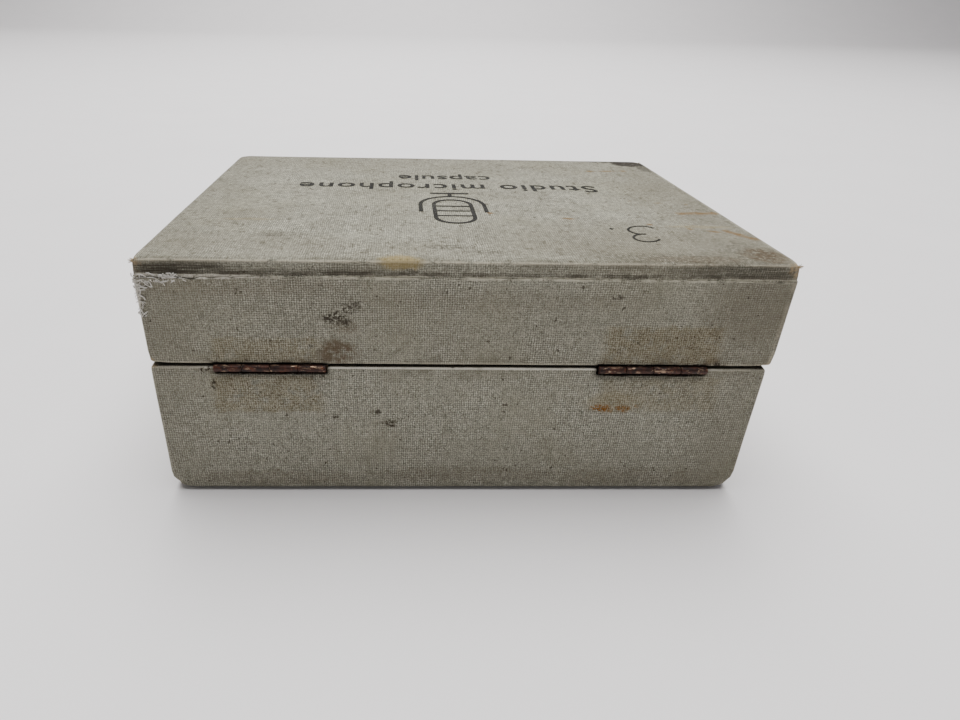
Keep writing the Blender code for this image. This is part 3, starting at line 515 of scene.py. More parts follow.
def rusty_steel(name):
    """Brown oxidised steel, with metal showing where it is rubbed, and near-black painted shade on the
    case's side of the hinge axis, over the leaves.
    """
    g = Graph(name)
    point = g.place()
    _, y, _ = g.parts(point)
    broad, fine = g.noise(point, 2.2, 5.0, 0.7), g.noise(point, 0.35, 3.0, 0.6)
    colour = g.mix(g.ramp(broad, 0.35, 0.65), srgb(24, 12, 9), srgb(68, 38, 27))
    colour = g.tint(colour, g.patchy(point, 1.1, 0.56, 0.72, 0.0, 0.55), 118, 66, 40)
    worn = g.ramp(g.noise(g.stretched(point, (0.4, 1.0, 1.0)), 0.8, 3.0, 0.6), 0.54, 0.66)
    colour = g.tint(colour, g.times(worn, 0.85), 166, 140, 118)
    # painted shade, near black and without metal, on the case's side of the hinge axis
    deep = g.ramp(y, float(HINGE_AXIS[1]), float(HINGE_AXIS[1]) - 0.5)
    colour = g.tint(colour, deep, 14, 10, 8)
    metal = g.times(g.ramp(worn, 0.0, 1.0, 0.15, 0.85), g.minus(1.0, deep))
    height = g.times(fine, 0.5, plus=broad)
    return g.finish(colour, g.ramp(worn, 0.0, 1.0, 0.52, 0.34), g.bump(height, 0.1), Metallic=metal,
                    Specular_IOR_Level=0.3)


def wood_board(name):
    """Plain pine, cut and left rough."""
    g = Graph(name)
    point = g.stretched(g.place(), (0.12, 0.12, 1.0))
    grain = g.add("TexWave", {"Vector": point, "Scale": 0.5, "Distortion": 4.0, "Detail": 3.0}, out=1,
                  bands_direction="Z")
    fine = g.noise(g.stretched(g.place(), (0.3, 0.3, 3.0)), 0.8, 3.0)
    colour = g.mix(grain, srgb(168, 128, 84), srgb(134, 94, 58))
    colour = g.tint(colour, g.ramp(fine, 0.35, 0.7, 0.0, 0.4), 110, 78, 48)
    # painted shade on the wood round the hinges
    colour = g.tint(colour, g.patches(g.place(), HINGE_SHADE, 0.3), 20, 15, 11)
    return g.finish(colour, g.ramp(fine, 0.0, 1.0, 0.6, 0.8), g.bump(g.math("ADD", grain, fine), 0.08))


def lining_paper(name):
    """Dark red paper with a pressed grain and pale flecks."""
    g = Graph(name)
    point = g.place()
    fine, broad = g.noise(point, 0.6, 3.0, 0.6), g.noise(point, 16.0, 3.0)
    colour = g.mix(broad, srgb(84, 30, 34), srgb(100, 42, 42))
    colour = g.tint(colour, g.ramp(fine, 0.58, 0.75, 0.0, 0.5), 134, 84, 76)
    return g.finish(colour, g.ramp(fine, 0.2, 0.8, 0.62, 0.85), g.bump(fine, 0.09))


def velvet(name, dark, light):
    """Short-pile velvet: lighter where the pile leans, with bald and brushed places."""
    g = Graph(name)
    point = g.place()
    pile, lean = g.noise(point, 0.22, 2.0, 0.7), g.noise(point, 9.0, 4.0, 0.65)
    colour = g.mix(g.ramp(lean, 0.36, 0.66), dark, light)
    shade = g.ramp(pile, 0.25, 0.75, 0.7, 1.2)
    colour = g.shade(colour, shade)
    height = g.times(lean, 1.4, plus=pile)
    return g.finish(colour, g.ramp(pile, 0.0, 1.0, 0.85, 1.0), g.bump(height, 0.16),
                    Sheen_Weight=0.25, Sheen_Roughness=0.4, Specular_IOR_Level=0.1)


def satin(name):
    """The lid pad's faded ivory satin."""
    g = Graph(name)
    point = g.place()
    x, _, _ = g.parts(point)
    ribs = g.math("SINE", g.times(x, 2 * math.pi / 0.28))
    slub = g.noise(g.stretched(point, (6.0, 0.35, 1.0)), 1.0, 3.0)
    stain = g.noise(point, 22.0, 4.0, 0.6)
    colour = g.mix(g.ramp(stain, 0.4, 0.7), srgb(196, 184, 156), srgb(170, 150, 116))
    colour = g.tint(colour, g.ramp(slub, 0.4, 0.7, 0.0, 0.35), 150, 134, 104)
    height = g.times(slub, 0.6, plus=g.times(ribs, 0.25))
    return g.finish(colour, g.ramp(slub, 0.0, 1.0, 0.38, 0.56), g.bump(height, 0.05), Sheen_Weight=0.2)


def metal(name, bright, dull, rough=0.3, along=(1.0, 1.0, 1.0)):
    """Plated or bare metal with tarnish and fine scratches. along stretches the scratches."""
    g = Graph(name)
    point = g.place()
    tarnish = g.ramp(g.noise(point, 3.0, 4.0, 0.65), 0.42, 0.7)
    scratch = g.noise(g.stretched(point, along), 0.35, 3.0, 0.6)
    colour = g.mix(tarnish, bright, dull)
    gloss = g.times(scratch, 0.22, plus=g.ramp(tarnish, 0.0, 1.0, rough, rough + 0.2))
    return g.finish(colour, gloss, g.bump(scratch, 0.02), Metallic=1.0)


def enamel(name, colour_a, colour_b, chip):
    """Hammered enamel on metal, chipped at random."""
    g = Graph(name)
    point = g.place()
    cells, fine = g.noise(point, 1.1, 1.0), g.noise(point, 0.5, 2.0)
    colour = g.mix(cells, colour_a, colour_b)
    chips = g.ramp(g.noise(point, 2.6, 4.0, 0.6), 0.7, 0.73)
    colour = g.mix(chips, colour, chip)
    height = g.minus(g.times(fine, 0.3, plus=cells), chips)
    return g.finish(colour, g.ramp(fine, 0.2, 0.8, 0.32, 0.46), g.bump(height, 0.08))


def bakelite(name):
    """Dark moulded resin, faintly marbled."""
    g = Graph(name)
    point = g.place()
    swirl = g.noise(point, 5.0, 4.0, 0.6)
    colour = g.mix(g.ramp(swirl, 0.4, 0.66), srgb(30, 20, 16), srgb(54, 33, 24))
    return g.finish(colour, g.ramp(g.noise(point, 1.5, 3.0), 0.3, 0.7, 0.22, 0.4), g.bump(swirl, 0.03))


# ---- meshes ---------------------------------------------------------------------------------------------

def linked(name, data):
    """A new object in the scene."""
    obj = bpy.data.objects.new(name, data)
    bpy.context.scene.collection.objects.link(obj)
    return obj


def piece(name, points, faces, body, material, smooth=True):
    """A piece of the object from points in millimetres, which rides on a body."""
    mesh = bpy.data.meshes.new(name)
    mesh.from_pydata((np.array(points, dtype=float) * MM).tolist(), [], faces)
    mesh.materials.append(material)
    mesh.polygons.foreach_set("use_smooth", [smooth] * len(mesh.polygons))
    obj = linked(name, mesh)
    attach(obj, body)
    return obj


def tube_faces(rows, sides, base=0):
    """The faces between rings of points that follow each other, from point number base on."""
    faces = []
    for row in range(base, base + (rows - 1) * sides, sides):
        for k in range(sides):
            after = (k + 1) % sides
            faces.append((row + k, row + after, row + sides + after, row + sides + k))
    return faces


def set_threads(obj, corners):
    """Writes the thread count of every face corner, in the order of the faces."""
    layer = obj.data.uv_layers.new(name="threads")
    layer.data.foreach_set("uv", np.array(corners, dtype=float).ravel())


def modifier(obj, kind, **settings):
    made = obj.modifiers.new(kind.lower(), kind)
    for key, value in settings.items():
        setattr(made, key, value)
    return made


def bevel(obj, width, least_angle):
    modifier(obj, "BEVEL", width=width * MM, segments=2, limit_method="ANGLE",
             angle_limit=math.radians(least_angle))


def thicken(obj, thickness):
    modifier(obj, "SOLIDIFY", thickness=thickness * MM, offset=-1.0, use_even_offset=True)


def wave(place, seed):
    """Smooth noise, -1 to 1, at a place that is measured in the noise's own lumps."""
    return noise.noise(place + Vector((seed * 17.3, seed * 5.1, seed * 2.7)))


def ripple(obj, height, size, seed):
    """Moves the surface in and out by up to height, in lumps of about size, in millimetres."""
    normals = [vertex.normal.copy() for vertex in obj.data.vertices]
    for vertex, normal in zip(obj.data.vertices, normals):
        vertex.co += normal * (wave(vertex.co / (size * MM), seed) * height * MM)


def round_ring(low, high, radius, step, stops=()):
    """Stations round a rounded rectangle, counter-clockwise from the middle of the front.
    A station is (ax, ay, nx, ny): its place on the inner rectangle, -1 to 1, and its outward direction."""
    half = (high[:2] - low[:2]) / 2 - radius
    centre = (low[:2] + high[:2]) / 2

    def run(start, end, length, extra=()):
        count = max(2, round(abs(end - start) * length / step))
        values = set(np.round(np.linspace(start, end, count + 1), 6)) | set(np.round(extra, 6))
        return sorted(values, reverse=end < start)

    def corner(sign_x, sign_y, start):
        angles = [math.radians(start + turn) for turn in (15, 30, 45, 60, 75)]
        return [(sign_x, sign_y, math.cos(a), math.sin(a)) for a in angles]

    stops = [(x - centre[0]) / half[0] for x in stops]
    stations = [(t, -1, 0, -1) for t in run(0, 1, half[0])]
    stations += corner(1, -1, -90) + [(1, t, 1, 0) for t in run(-1, 1, half[1])]
    stations += corner(1, 1, 0) + [(t, 1, 0, 1) for t in run(1, -1, half[0], stops)]
    stations += corner(-1, 1, 90) + [(-1, t, -1, 0) for t in run(1, -1, half[1])]
    stations += corner(-1, -1, 180) + [(t, -1, 0, -1) for t in run(-1, 0, half[0])[:-1]]
    return np.array(stations, dtype=float)


def ring_points(stations, low, high, radius, inset):
    """The stations' places when the outline is moved in by inset."""
    inner = max(radius - inset, 0.05)
    half = (high[:2] - low[:2]) / 2 - max(inset, 0) - inner
    centre = (low[:2] + high[:2]) / 2
    if inset < 0:
        inner, half = radius - inset, (high[:2] - low[:2]) / 2 - radius
    return centre + stations[:, :2] * half + stations[:, 2:] * inner


def arc(centre, radius, start, end, count=4, squeeze=1.0):
    """Points of an arc in a plane; angles are in degrees from its first axis. squeeze flattens the arc."""
    angles = [math.radians(a) for a in np.linspace(start, end, count + 1)]
    return [(centre[0] + radius * math.cos(a), centre[1] + squeeze * radius * math.sin(a)) for a in angles]


def soften_corners(points, low, high, radii):
    """Rounds the box's outline at each point to that point's own radius."""
    points = np.array(points, dtype=float)
    radii = np.asarray(radii)[:, None]
    centre, half = (low + high) / 2, (high - low) / 2
    away = points - centre
    core = np.clip(away, -(half - radii), half - radii)
    rest = away - core
    length = np.linalg.norm(rest, axis=1, keepdims=True)
    pulled = centre + core + rest * (radii / np.maximum(length, 1e-9))
    return np.where(length > radii, pulled, points)


def knuckle_at(x):
    """The number of the knuckle at x, from +X, or None away from the hinges."""
    for centre in HINGES.values():
        share = (centre + HINGE_LENGTH / 2 - x) / HINGE_LENGTH * KNUCKLES
        if -0.06 < share < KNUCKLES + 0.06:
            return min(max(int(share), 0), KNUCKLES - 1)
    return None


def in_notch(point):
    """Whether the cover is cut away here for a hinge's barrel. Even knuckles are the base's."""
    knuckle = knuckle_at(point[0])
    if knuckle is None or point[1] < REAR - NOTCH_DEPTH:
        return False
    rise = point[2] - HINGE_AXIS[2]
    if rise < 0:
        return -rise < BASE_NOTCH
    return rise < (OWN_NOTCH if knuckle % 2 else NOTCH)


def radii_near(points, corners, least, reach):
    """A radius for each point: least, and towards each (corner, radius) that corner's own."""
    radii = np.full(len(points), least)
    for corner, radius in corners:
        away = np.linalg.norm(points - np.array(corner), axis=1)
        radii = np.maximum(radii, least + (radius - least) * np.exp(-(away / reach) ** 2))
    return radii


def wound_strip(name, body, low, high, profile, shape, material):
    """A strip of cloth wound round the case, cut away for the hinges. profile is (inset, height) from edge
    to edge; shape moves the finished points."""
    stops = [centre + side * (HINGE_LENGTH / 2 + 0.3) for centre in HINGES.values() for side in (-1, 1)]
    stations = round_ring(low, high, ARRIS, 1.1, stops)
    count = len(stations)
    rows = [np.column_stack((ring_points(stations, low, high, ARRIS, inset), np.full(count, height)))
            for inset, height in profile]
    outer = ring_points(stations, low, high, ARRIS, 0.0)
    sides = np.linalg.norm(np.roll(outer, -1, 0) - outer, axis=1)
    around = np.concatenate(([0.0], np.cumsum(sides))) / THREAD
    steps = [math.dist(a, b) for a, b in zip(profile, profile[1:])]
    up = np.concatenate(([0.0], np.cumsum(steps))) / THREAD
    points = np.concatenate(rows)
    faces, threads = [], []
    for row in range(len(profile) - 1):
        for column in range(count):
            after = (column + 1) % count
            corners = (row * count + column, row * count + after, (row + 1) * count + after,
                       (row + 1) * count + column)
            if in_notch(points[list(corners)].mean(axis=0)):
                continue
            faces.append(corners)
            threads += [(around[column], up[row]), (around[column + 1], up[row]),
                        (around[column + 1], up[row + 1]), (around[column], up[row + 1])]
    obj = piece(name, shape(points), faces, body, material)
    set_threads(obj, threads)
    return obj


def over_leaf(points, direction):
    """How much the leaf under the cloth raises each point of the rear face, 0 to 1."""
    lift = np.zeros(len(points))
    for centre in HINGES.values():
        along = np.clip((HINGE_LENGTH / 2 + 0.8 - np.abs(points[:, 0] - centre)) / 1.0, 0, 1)
        reach = (points[:, 2] - HINGE_AXIS[2]) * direction
        up = np.clip((LEAF_REACH - reach) / 1.2, 0, 1) * (reach > 0)
        lift = np.maximum(lift, along * up)
    return lift * (points[:, 1] > REAR - 0.7)


def tear(x, y, seed, size):
    """How far a torn edge strays at (x, y), -1 to 1."""
    return noise.noise(Vector((x / size, y / size, seed * 3.7)))


def over_rim(rim, away):
    """(inset, height) along a rim and on into the box. away is the way from the rim to the box's inside: -1
    for the base and 1 for the lid."""
    line = [(NOTCH_DEPTH, rim), (4.0, rim), (6.3, rim)]
    line += arc((INNER_FACE - 0.7, rim + away * 0.7), 0.7, -away * 80, 0, 2)
    return line + [(INNER_FACE, rim + away * 3.0), (INNER_FACE, rim + away * TURN_IN)]


def make_base_cloth(material):
    """The base's sides: turned under at the bottom, over the rim, and down inside."""
    low, high = BASE_LOW, BASE_HIGH
    bottom, rim = low[2], high[2]
    profile = [(8.0, bottom), (5.0, bottom), (2.0, bottom)]
    profile += arc((ARRIS, bottom + ARRIS), ARRIS, 270, 180)
    profile += [(0.0, z) for z in np.arange(bottom + 3.0, rim - 2.6, 2.0)]
    profile += [(0.0, HINGE_AXIS[2] - BASE_NOTCH), (0.0, rim - 0.75)]
    profile += arc((0.45, rim - 0.45), 0.45, 180, 90, 3) + over_rim(rim, -1)

    def shape(points):
        corners = [((x, y, z), radius) for x in (low[0], high[0])
                   for y, z, radius in ((high[1], bottom, 3.2), (high[1], rim, 1.0),
                                        (low[1], bottom, 2.4), (low[1], rim, 1.0))]
        radii = radii_near(points, corners, 0.4, 3.2)
        points = soften_corners(points, low, np.array((*high[:2], rim)), radii)
        points[:, 1] += LEAF_LIFT * over_leaf(points, -1)
        return points

    cloth = wound_strip("base_cloth", "base", low, high, profile, shape, material)
    ripple(cloth, 0.07, 14.0, 1)
    thicken(cloth, CLOTH)
    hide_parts("base_side_cloth")
    return cloth


def strip_edge(x, y):
    """Height of the lid strip's cut top edge."""
    return STRIP_TOP + 0.35 * tear(x, y, 5, 9.0) + 0.22 * tear(x, y, 6, 1.1)


def make_lid_strip(material):
    """The lid's sides: from inside, under the rim and up to a cut edge below the top's band."""
    low, high = LID_LOW, LID_HIGH
    rim, top = low[2], STRIP_TOP
    profile = over_rim(rim, 1)[::-1] + arc((0.3, rim + 0.3), 0.3, 270, 180, 3)
    profile += [(0.0, HINGE_AXIS[2] + NOTCH)]
    profile += [(0.0, z) for z in np.arange(rim + 3.0, top - 2.6, 2.0)]
    profile += [(0.0, top - 1.8), (0.0, top - 0.9), (0.0, top - 0.3), (0.0, top)]

    def shape(points):
        corners = [((x, y, rim), 1.05) for x in (low[0], high[0]) for y in (low[1], high[1])]
        radii = radii_near(points, corners, 0.35, 3.0)
        box_high = np.array((high[0], high[1], top + 20))
        points = soften_corners(points, low, box_high, radii)
        for point in points:
            if point[2] > top - 2.0:
                share = (point[2] - (top - 2.0)) / 2.0
                point[2] += share * (strip_edge(point[0], point[1]) - top)
                # the strip has come unstuck near the corner over the right hinge
                if point[1] > high[1] - 2.0:
                    lift = np.clip((point[0] - 46) / 12, 0, 1) * share
                    point[1] += 0.35 * lift * (1 + 0.6 * tear(point[0], 0, 8, 4.0))
                    point[2] -= 0.5 * lift * (1 + tear(point[0], 0, 9, 3.0))
        points[:, 1] += LEAF_LIFT * over_leaf(points, 1)
        return points

    strip = wound_strip("lid_side_strip", "lid", low, high, profile, shape, material)
    ripple(strip, 0.06, 12.0, 2)
    thicken(strip, STRIP)
    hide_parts("lid_side_cloth")
    return strip


def make_lid_top(material):
    """The top sheet: flat over the board, folded over its four edges and creased down behind the strip."""
    low, high = TOP_LOW, TOP_HIGH
    top = high[2]
    stations = round_ring(low, high, TOP_FOLD, 1.5)
    half = (high[:2] - low[:2]) / 2 - TOP_FOLD
    centre = (low[:2] + high[:2]) / 2
    along = [sorted({round(s[axis], 6) for s in stations}) for axis in (0, 1)]
    number = {(x, y): i for i, (x, y) in enumerate((x, y) for y in along[1] for x in along[0])}
    points = [(*(centre + np.array((x, y)) * half), top) for y in along[1] for x in along[0]]
    faces, threads = [], []

    def add(corners, counts):
        faces.append(corners)
        threads.extend(counts)

    def count_at(x, y):
        return (x * half[0] / THREAD, y * half[1] / THREAD)

    for y0, y1 in zip(along[1], along[1][1:]):
        for x0, x1 in zip(along[0], along[0][1:]):
            keys = [(x0, y0), (x1, y0), (x1, y1), (x0, y1)]
            add([number[key] for key in keys], [count_at(*key) for key in keys])
    profile = arc((TOP_FOLD, top - TOP_FOLD), TOP_FOLD, 90, 180, 4)[1:]
    profile += [(0.0, top - depth) for depth in (1.0, 1.4, 1.8, 2.2, 2.6, 3.0, 3.6, 4.6)]
    reach = [0.0]
    previous = (TOP_FOLD, top)
    for step in profile:
        reach.append(reach[-1] + math.dist(previous, step))
        previous = step
    ids = [[number[(round(s[0], 6), round(s[1], 6))] for s in stations]]
    for inset, height in profile:
        start = len(points)
        ring = ring_points(stations, low, high, TOP_FOLD, inset)
        ids.append(list(range(start, start + len(stations))))
        for (x, y), station in zip(ring, stations):
            # a crease pressed along the band
            crease = 0.10 * math.exp(-((height - (top - 2.3 + 0.3 * tear(x, y, 3, 11.0))) / 0.35) ** 2)
            points.append((x - station[2] * crease, y - station[3] * crease, height))
    for row in range(len(profile)):
        for column, station in enumerate(stations):
            after = (column + 1) % len(stations)
            quad = [(row + 1, column), (row + 1, after), (row, after), (row, column)]
            corners = [ids[r][c] for r, c in quad]
            counts = [tuple((stations[c][:2] * half + stations[c][2:] * reach[r]) / THREAD)
                      for r, c in quad]
            if corners[2] == corners[3]:
                corners, counts = corners[:3], counts[:3]
            add(corners, counts)
    points = np.array(points)
    corners = [((low[0], high[1], top), 1.3), ((high[0], high[1], top), 1.2), ((low[0], low[1], top), 1.4),
               ((high[0], low[1], top), 1.6)]
    far_below = np.array((*low[:2], top - 30))
    points = soften_corners(points, far_below, high, radii_near(points, corners, 0.5, 2.2))
    sheet = piece("lid_top_sheet", points, faces, "lid", material)
    set_threads(sheet, threads)
    ripple(sheet, **TOP_RIPPLE)
    thicken(sheet, CLOTH)
    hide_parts("lid_top_cloth")
    return sheet


def make_bottom_sheet(material):
    """The cloth glued under the base."""
    low, high = span("base_bottom_cloth")
    xs, ys = np.linspace(low[0], high[0], 61), np.linspace(low[1], high[1], 45)
    points = []
    for y in ys:
        for x in xs:
            edge = 0.25 * tear(x, y, 12, 2.0)
            points.append((x + (edge - 0.3) * np.sign(x) * (abs(x) > high[0] - 0.1),
                           y + (edge - 0.3) * np.sign(y) * (abs(y) > high[1] - 0.1), high[2]))
    faces, threads = [], []
    for row in range(len(ys) - 1):
        for column in range(len(xs) - 1):
            start = row * len(xs) + column
            faces.append((start, start + 1, start + len(xs) + 1, start + len(xs)))
            threads += [(points[i][0] / THREAD, points[i][1] / THREAD) for i in faces[-1]]
    sheet = piece("bottom_sheet", points, faces, "base", material)
    set_threads(sheet, threads)
    thicken(sheet, high[2] - low[2])
    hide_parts("base_bottom_cloth")
    return sheet


# ---- hinges ---------------------------------------------------------------------------------------------

def thick_line(path, thickness):
    """The closed outline of a bent strip of metal whose middle follows path."""
    path = np.array(path, dtype=float)
    ahead = np.gradient(path, axis=0)
    ahead /= np.linalg.norm(ahead, axis=1, keepdims=True)
    side = np.column_stack((-ahead[:, 1], ahead[:, 0])) * thickness / 2
    return np.concatenate((path + side, (path - side)[::-1]))


def extruded(outline, start, end, points, faces):
    """Adds a solid with the (y, z) outline of a bent strip between two places along X."""
    count, base = len(outline), len(points)
    points += [(x, y, z) for x in (start, end) for y, z in outline]
    for i in range(count):
        after = (i + 1) % count
        faces.append((base + i, base + after, base + count + after, base + count + i))
    for i in range(count // 2 - 1):
        quad = (i, i + 1, count - 2 - i, count - 1 - i)
        faces.append(tuple(base + q for q in quad[::-1]))
        faces.append(tuple(base + count + q for q in quad))


def make_hinge_half(side, part, direction, material):
    """A leaf in the wood, and its knuckles rolled round the pin. direction is 1 for the lid's leaf."""
    node = f"{side}_hinge_{part}_leaf"
    low, high = span(node)
    centre, axis_y, axis_z = HINGES[side], HINGE_AXIS[1], HINGE_AXIS[2]
    middle, roll = low[1] + LEAF / 2, (BARREL + BORE) / 2
    thickness = BARREL - BORE
    turn_start, far = axis_z + direction * 1.9, low[2] if direction < 0 else high[2]
    points, faces = [], []
    plate = [(middle, far), (middle, (far + turn_start) / 2), (middle, turn_start)]
    extruded(thick_line(plate, LEAF), centre - HINGE_LENGTH / 2, centre + HINGE_LENGTH / 2, points, faces)
    bend = [(middle, turn_start + direction * 0.4), (middle, turn_start - direction * 0.5),
            (middle + 0.1, axis_z + direction * 0.9), (axis_y - roll - 0.25, axis_z + direction * 0.45)]
    angles = np.linspace(180, 180 + direction * 318, 26)
    bend += [(axis_y + roll * math.cos(math.radians(a)), axis_z + roll * math.sin(math.radians(a)))
             for a in angles]
    length = (HINGE_LENGTH - (KNUCKLES - 1) * HINGE_GAP) / KNUCKLES
    for index in range(KNUCKLES):
        if (index % 2 == 0) != (direction < 0):
            continue
        start = centre + HINGE_LENGTH / 2 - index * (length + HINGE_GAP)
        extruded(thick_line(bend, thickness), start - length, start, points, faces)
    half = piece(f"{side}_hinge_{part}_half", points, faces, part, material)
    mesh = bmesh.new()
    mesh.from_mesh(half.data)
    bmesh.ops.recalc_face_normals(mesh, faces=mesh.faces)
    mesh.to_mesh(half.data)
    mesh.free()
    bevel(half, 0.12, 40)
    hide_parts(node)
    return half


def add_tube(path, radii, points, faces, sides):
    """Adds a closed tube that follows a path, with a radius at each of its places."""
    path = [Vector(p) for p in path]
    base = len(points)
    for i, (p, radius) in enumerate(zip(path, radii)):
        ahead = (path[min(i + 1, len(path) - 1)] - path[max(i - 1, 0)]).normalized()
        side = ahead.orthogonal().normalized()
        up = ahead.cross(side)
        for k in range(sides):
            turn = 2 * math.pi * k / sides
            points.append(tuple(p + (side * math.cos(turn) + up * math.sin(turn)) * radius))
    faces += tube_faces(len(path), sides, base)
    faces.append(tuple(base + k for k in reversed(range(sides))))
    faces.append(tuple(base + (len(path) - 1) * sides + k for k in range(sides)))


def make_hinges(steel):
    for side in HINGES:
        for part, direction in (("base", -1), ("lid", 1)):
            make_hinge_half(side, part, direction, steel)
        low, high = span(f"{side}_hinge_pin")
        ends = [(low[0] + inset, radius) for inset, radius in ((0.0, 0.3), (0.05, 0.46), (0.2, PIN))]
        ends += [(high[0] - inset, radius) for inset, radius in ((0.2, PIN), (0.05, 0.46), (0.0, 0.3))]
        points, faces = [], []
        add_tube([(x, *HINGE_AXIS[1:]) for x, _ in ends], [radius for _, radius in ends], points, faces, 20)
        pin = piece(f"{side}_pin", points, faces, "base", steel)
        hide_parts(f"{side}_hinge_pin")


# ---- print ----------------------------------------------------------------------------------------------

def flat_print(name, points, faces, ink):
    """Ink that follows the top sheet's ripples, from points in the (x, y) plane."""
    raised = []
    for x, y in points:
        lift = wave(Vector((x, y, TOP_HIGH[2])) / TOP_RIPPLE["size"], TOP_RIPPLE["seed"])
        raised.append((x, y, TOP_HIGH[2] + TOP_RIPPLE["height"] * lift + INK_HEIGHT))
    obj = piece(name, raised, faces, "lid", ink, smooth=False)
    centre, half = (TOP_LOW[:2] + TOP_HIGH[:2]) / 2, 1 / THREAD
    set_threads(obj, [((raised[i][0] - centre[0]) * half, (raised[i][1] - centre[1]) * half)
                      for face in faces for i in face])
    return obj


def stroke(path, width, points, faces, closed=False):
    """Adds a line of even width along a path."""
    path = [np.array(p, dtype=float) for p in path]
    count, base = len(path), len(points)
    for i, p in enumerate(path):
        before = path[i - 1] if closed or i else path[i]
        after = path[(i + 1) % count] if closed or i < count - 1 else path[i]
        ahead = (after - before) / np.linalg.norm(after - before)
        side = np.array((-ahead[1], ahead[0])) * width / 2
        points += [tuple(p + side), tuple(p - side)]
    for i in range(count if closed else count - 1):
        a, b = base + 2 * i, base + 2 * ((i + 1) % count)
        faces.append((a, a + 1, b + 1, b))


def make_emblem(ink):
    """A plain pictogram of a microphone on a stand."""
    points, faces = [], []
    x, low, high, radius = 0.4, 8.5, 20.5, 5.0
    head = arc((x, high), radius, 0, 180, 23) + arc((x, low), radius, 180, 360, 23)
    stroke(head, 1.1, points, faces, closed=True)
    for y in (10.0, 14.5, 19.0):
        stroke([(x - radius, y), (x + radius, y)], 0.9, points, faces)
    yoke, foot = 8.6, -3.6
    stroke([(x - yoke, 15.5)] + arc((x, low), yoke, 180, 360, 23) + [(x + yoke, 15.5)], 1.1, points, faces)
    stroke([(x, low - yoke), (x, foot)], 1.2, points, faces)
    stroke([(x - 5.5, foot), (x + 5.5, foot)], 1.3, points, faces)
    return flat_print("print_emblem", points, faces, ink)


def make_words(ink):
    """The plain words for what the case holds."""
    points, faces = [], []
    for words, size, spacing, centre, base in (("Studio microphone", 10.4, 1.1, 0.0, -14.8),
                                               ("capsule", 9.4, 1.05, 0.5, -26.0)):
        curve = bpy.data.curves.new("words", "FONT")
        curve.body, curve.size, curve.align_x = words, size, "CENTER"
        curve.space_character, curve.resolution_u, curve.offset = spacing, 3, 0.13
        helper = linked("words", curve)
        bpy.context.view_layer.update()
        mesh = bpy.data.meshes.new_from_object(helper.evaluated_get(bpy.context.evaluated_depsgraph_get()))
        start = len(points)
        points += [(v.co.x + centre, v.co.y + base) for v in mesh.vertices]
        faces += [tuple(start + i for i in p.vertices) for p in mesh.polygons]
        bpy.data.objects.remove(helper)
        bpy.data.meshes.remove(mesh)
    return flat_print("print_words", points, faces, ink)


def make_numeral(ink):
    """A number written on the lid by hand, with a full stop."""
    points, faces = [], []
    upper = arc((-44.0, 35.6), 3.1, 160, -95, 15, 0.95)
    lower = arc((-43.9, 29.6), 3.5, 95, -150, 17, 0.95)
    slant, middle = 0.18, 33
    stroke([(x + slant * (y - middle), y) for x, y in upper + lower], 0.62, points, faces)
    stroke([(-37.4, 28.4), (-36.8, 29.2)], 0.9, points, faces)
    return flat_print("print_numeral", points, faces, ink)


# ---- threads --------------------------------------------------------------------------------------------

def add_thread(path, radius, points, faces, sides=5):
    """Adds a thread that follows a path and thins out at its end."""
    add_tube(path, [radius] * (len(path) - 1) + [0.45 * radius], points, faces, sides)


def make_fringe(material):
    """The thread ends that stand out of the lid strip's cut edge."""
    draw = random.Random(11)
    points, faces = [], []
    stations = round_ring(LID_LOW, LID_HIGH, ARRIS, THREAD)
    places = ring_points(stations, LID_LOW, LID_HIGH, ARRIS, 0.12)
    for (x, y), station in zip(places, stations):
        if draw.random() < 0.35:
            continue
        out = np.array((station[2], station[3]))
        rise, lean = draw.uniform(0.1, 0.55), draw.uniform(-0.25, 0.25)
        curl, foot = draw.uniform(-0.05, 0.16), strip_edge(x, y) - 0.15
        side = np.array((-out[1], out[0])) * lean
        path = [(x, y, foot)]
        for share, curled in ((0.5, 0.4), (1.0, 1.0)):
            place = np.array((x, y)) + side * share + out * curl * curled
            path.append((*place, foot + 0.15 + rise * share))
        add_thread(path, draw.uniform(0.05, 0.09), points, faces, 4)
    return piece("strip_fringe", points, faces, "lid", material)


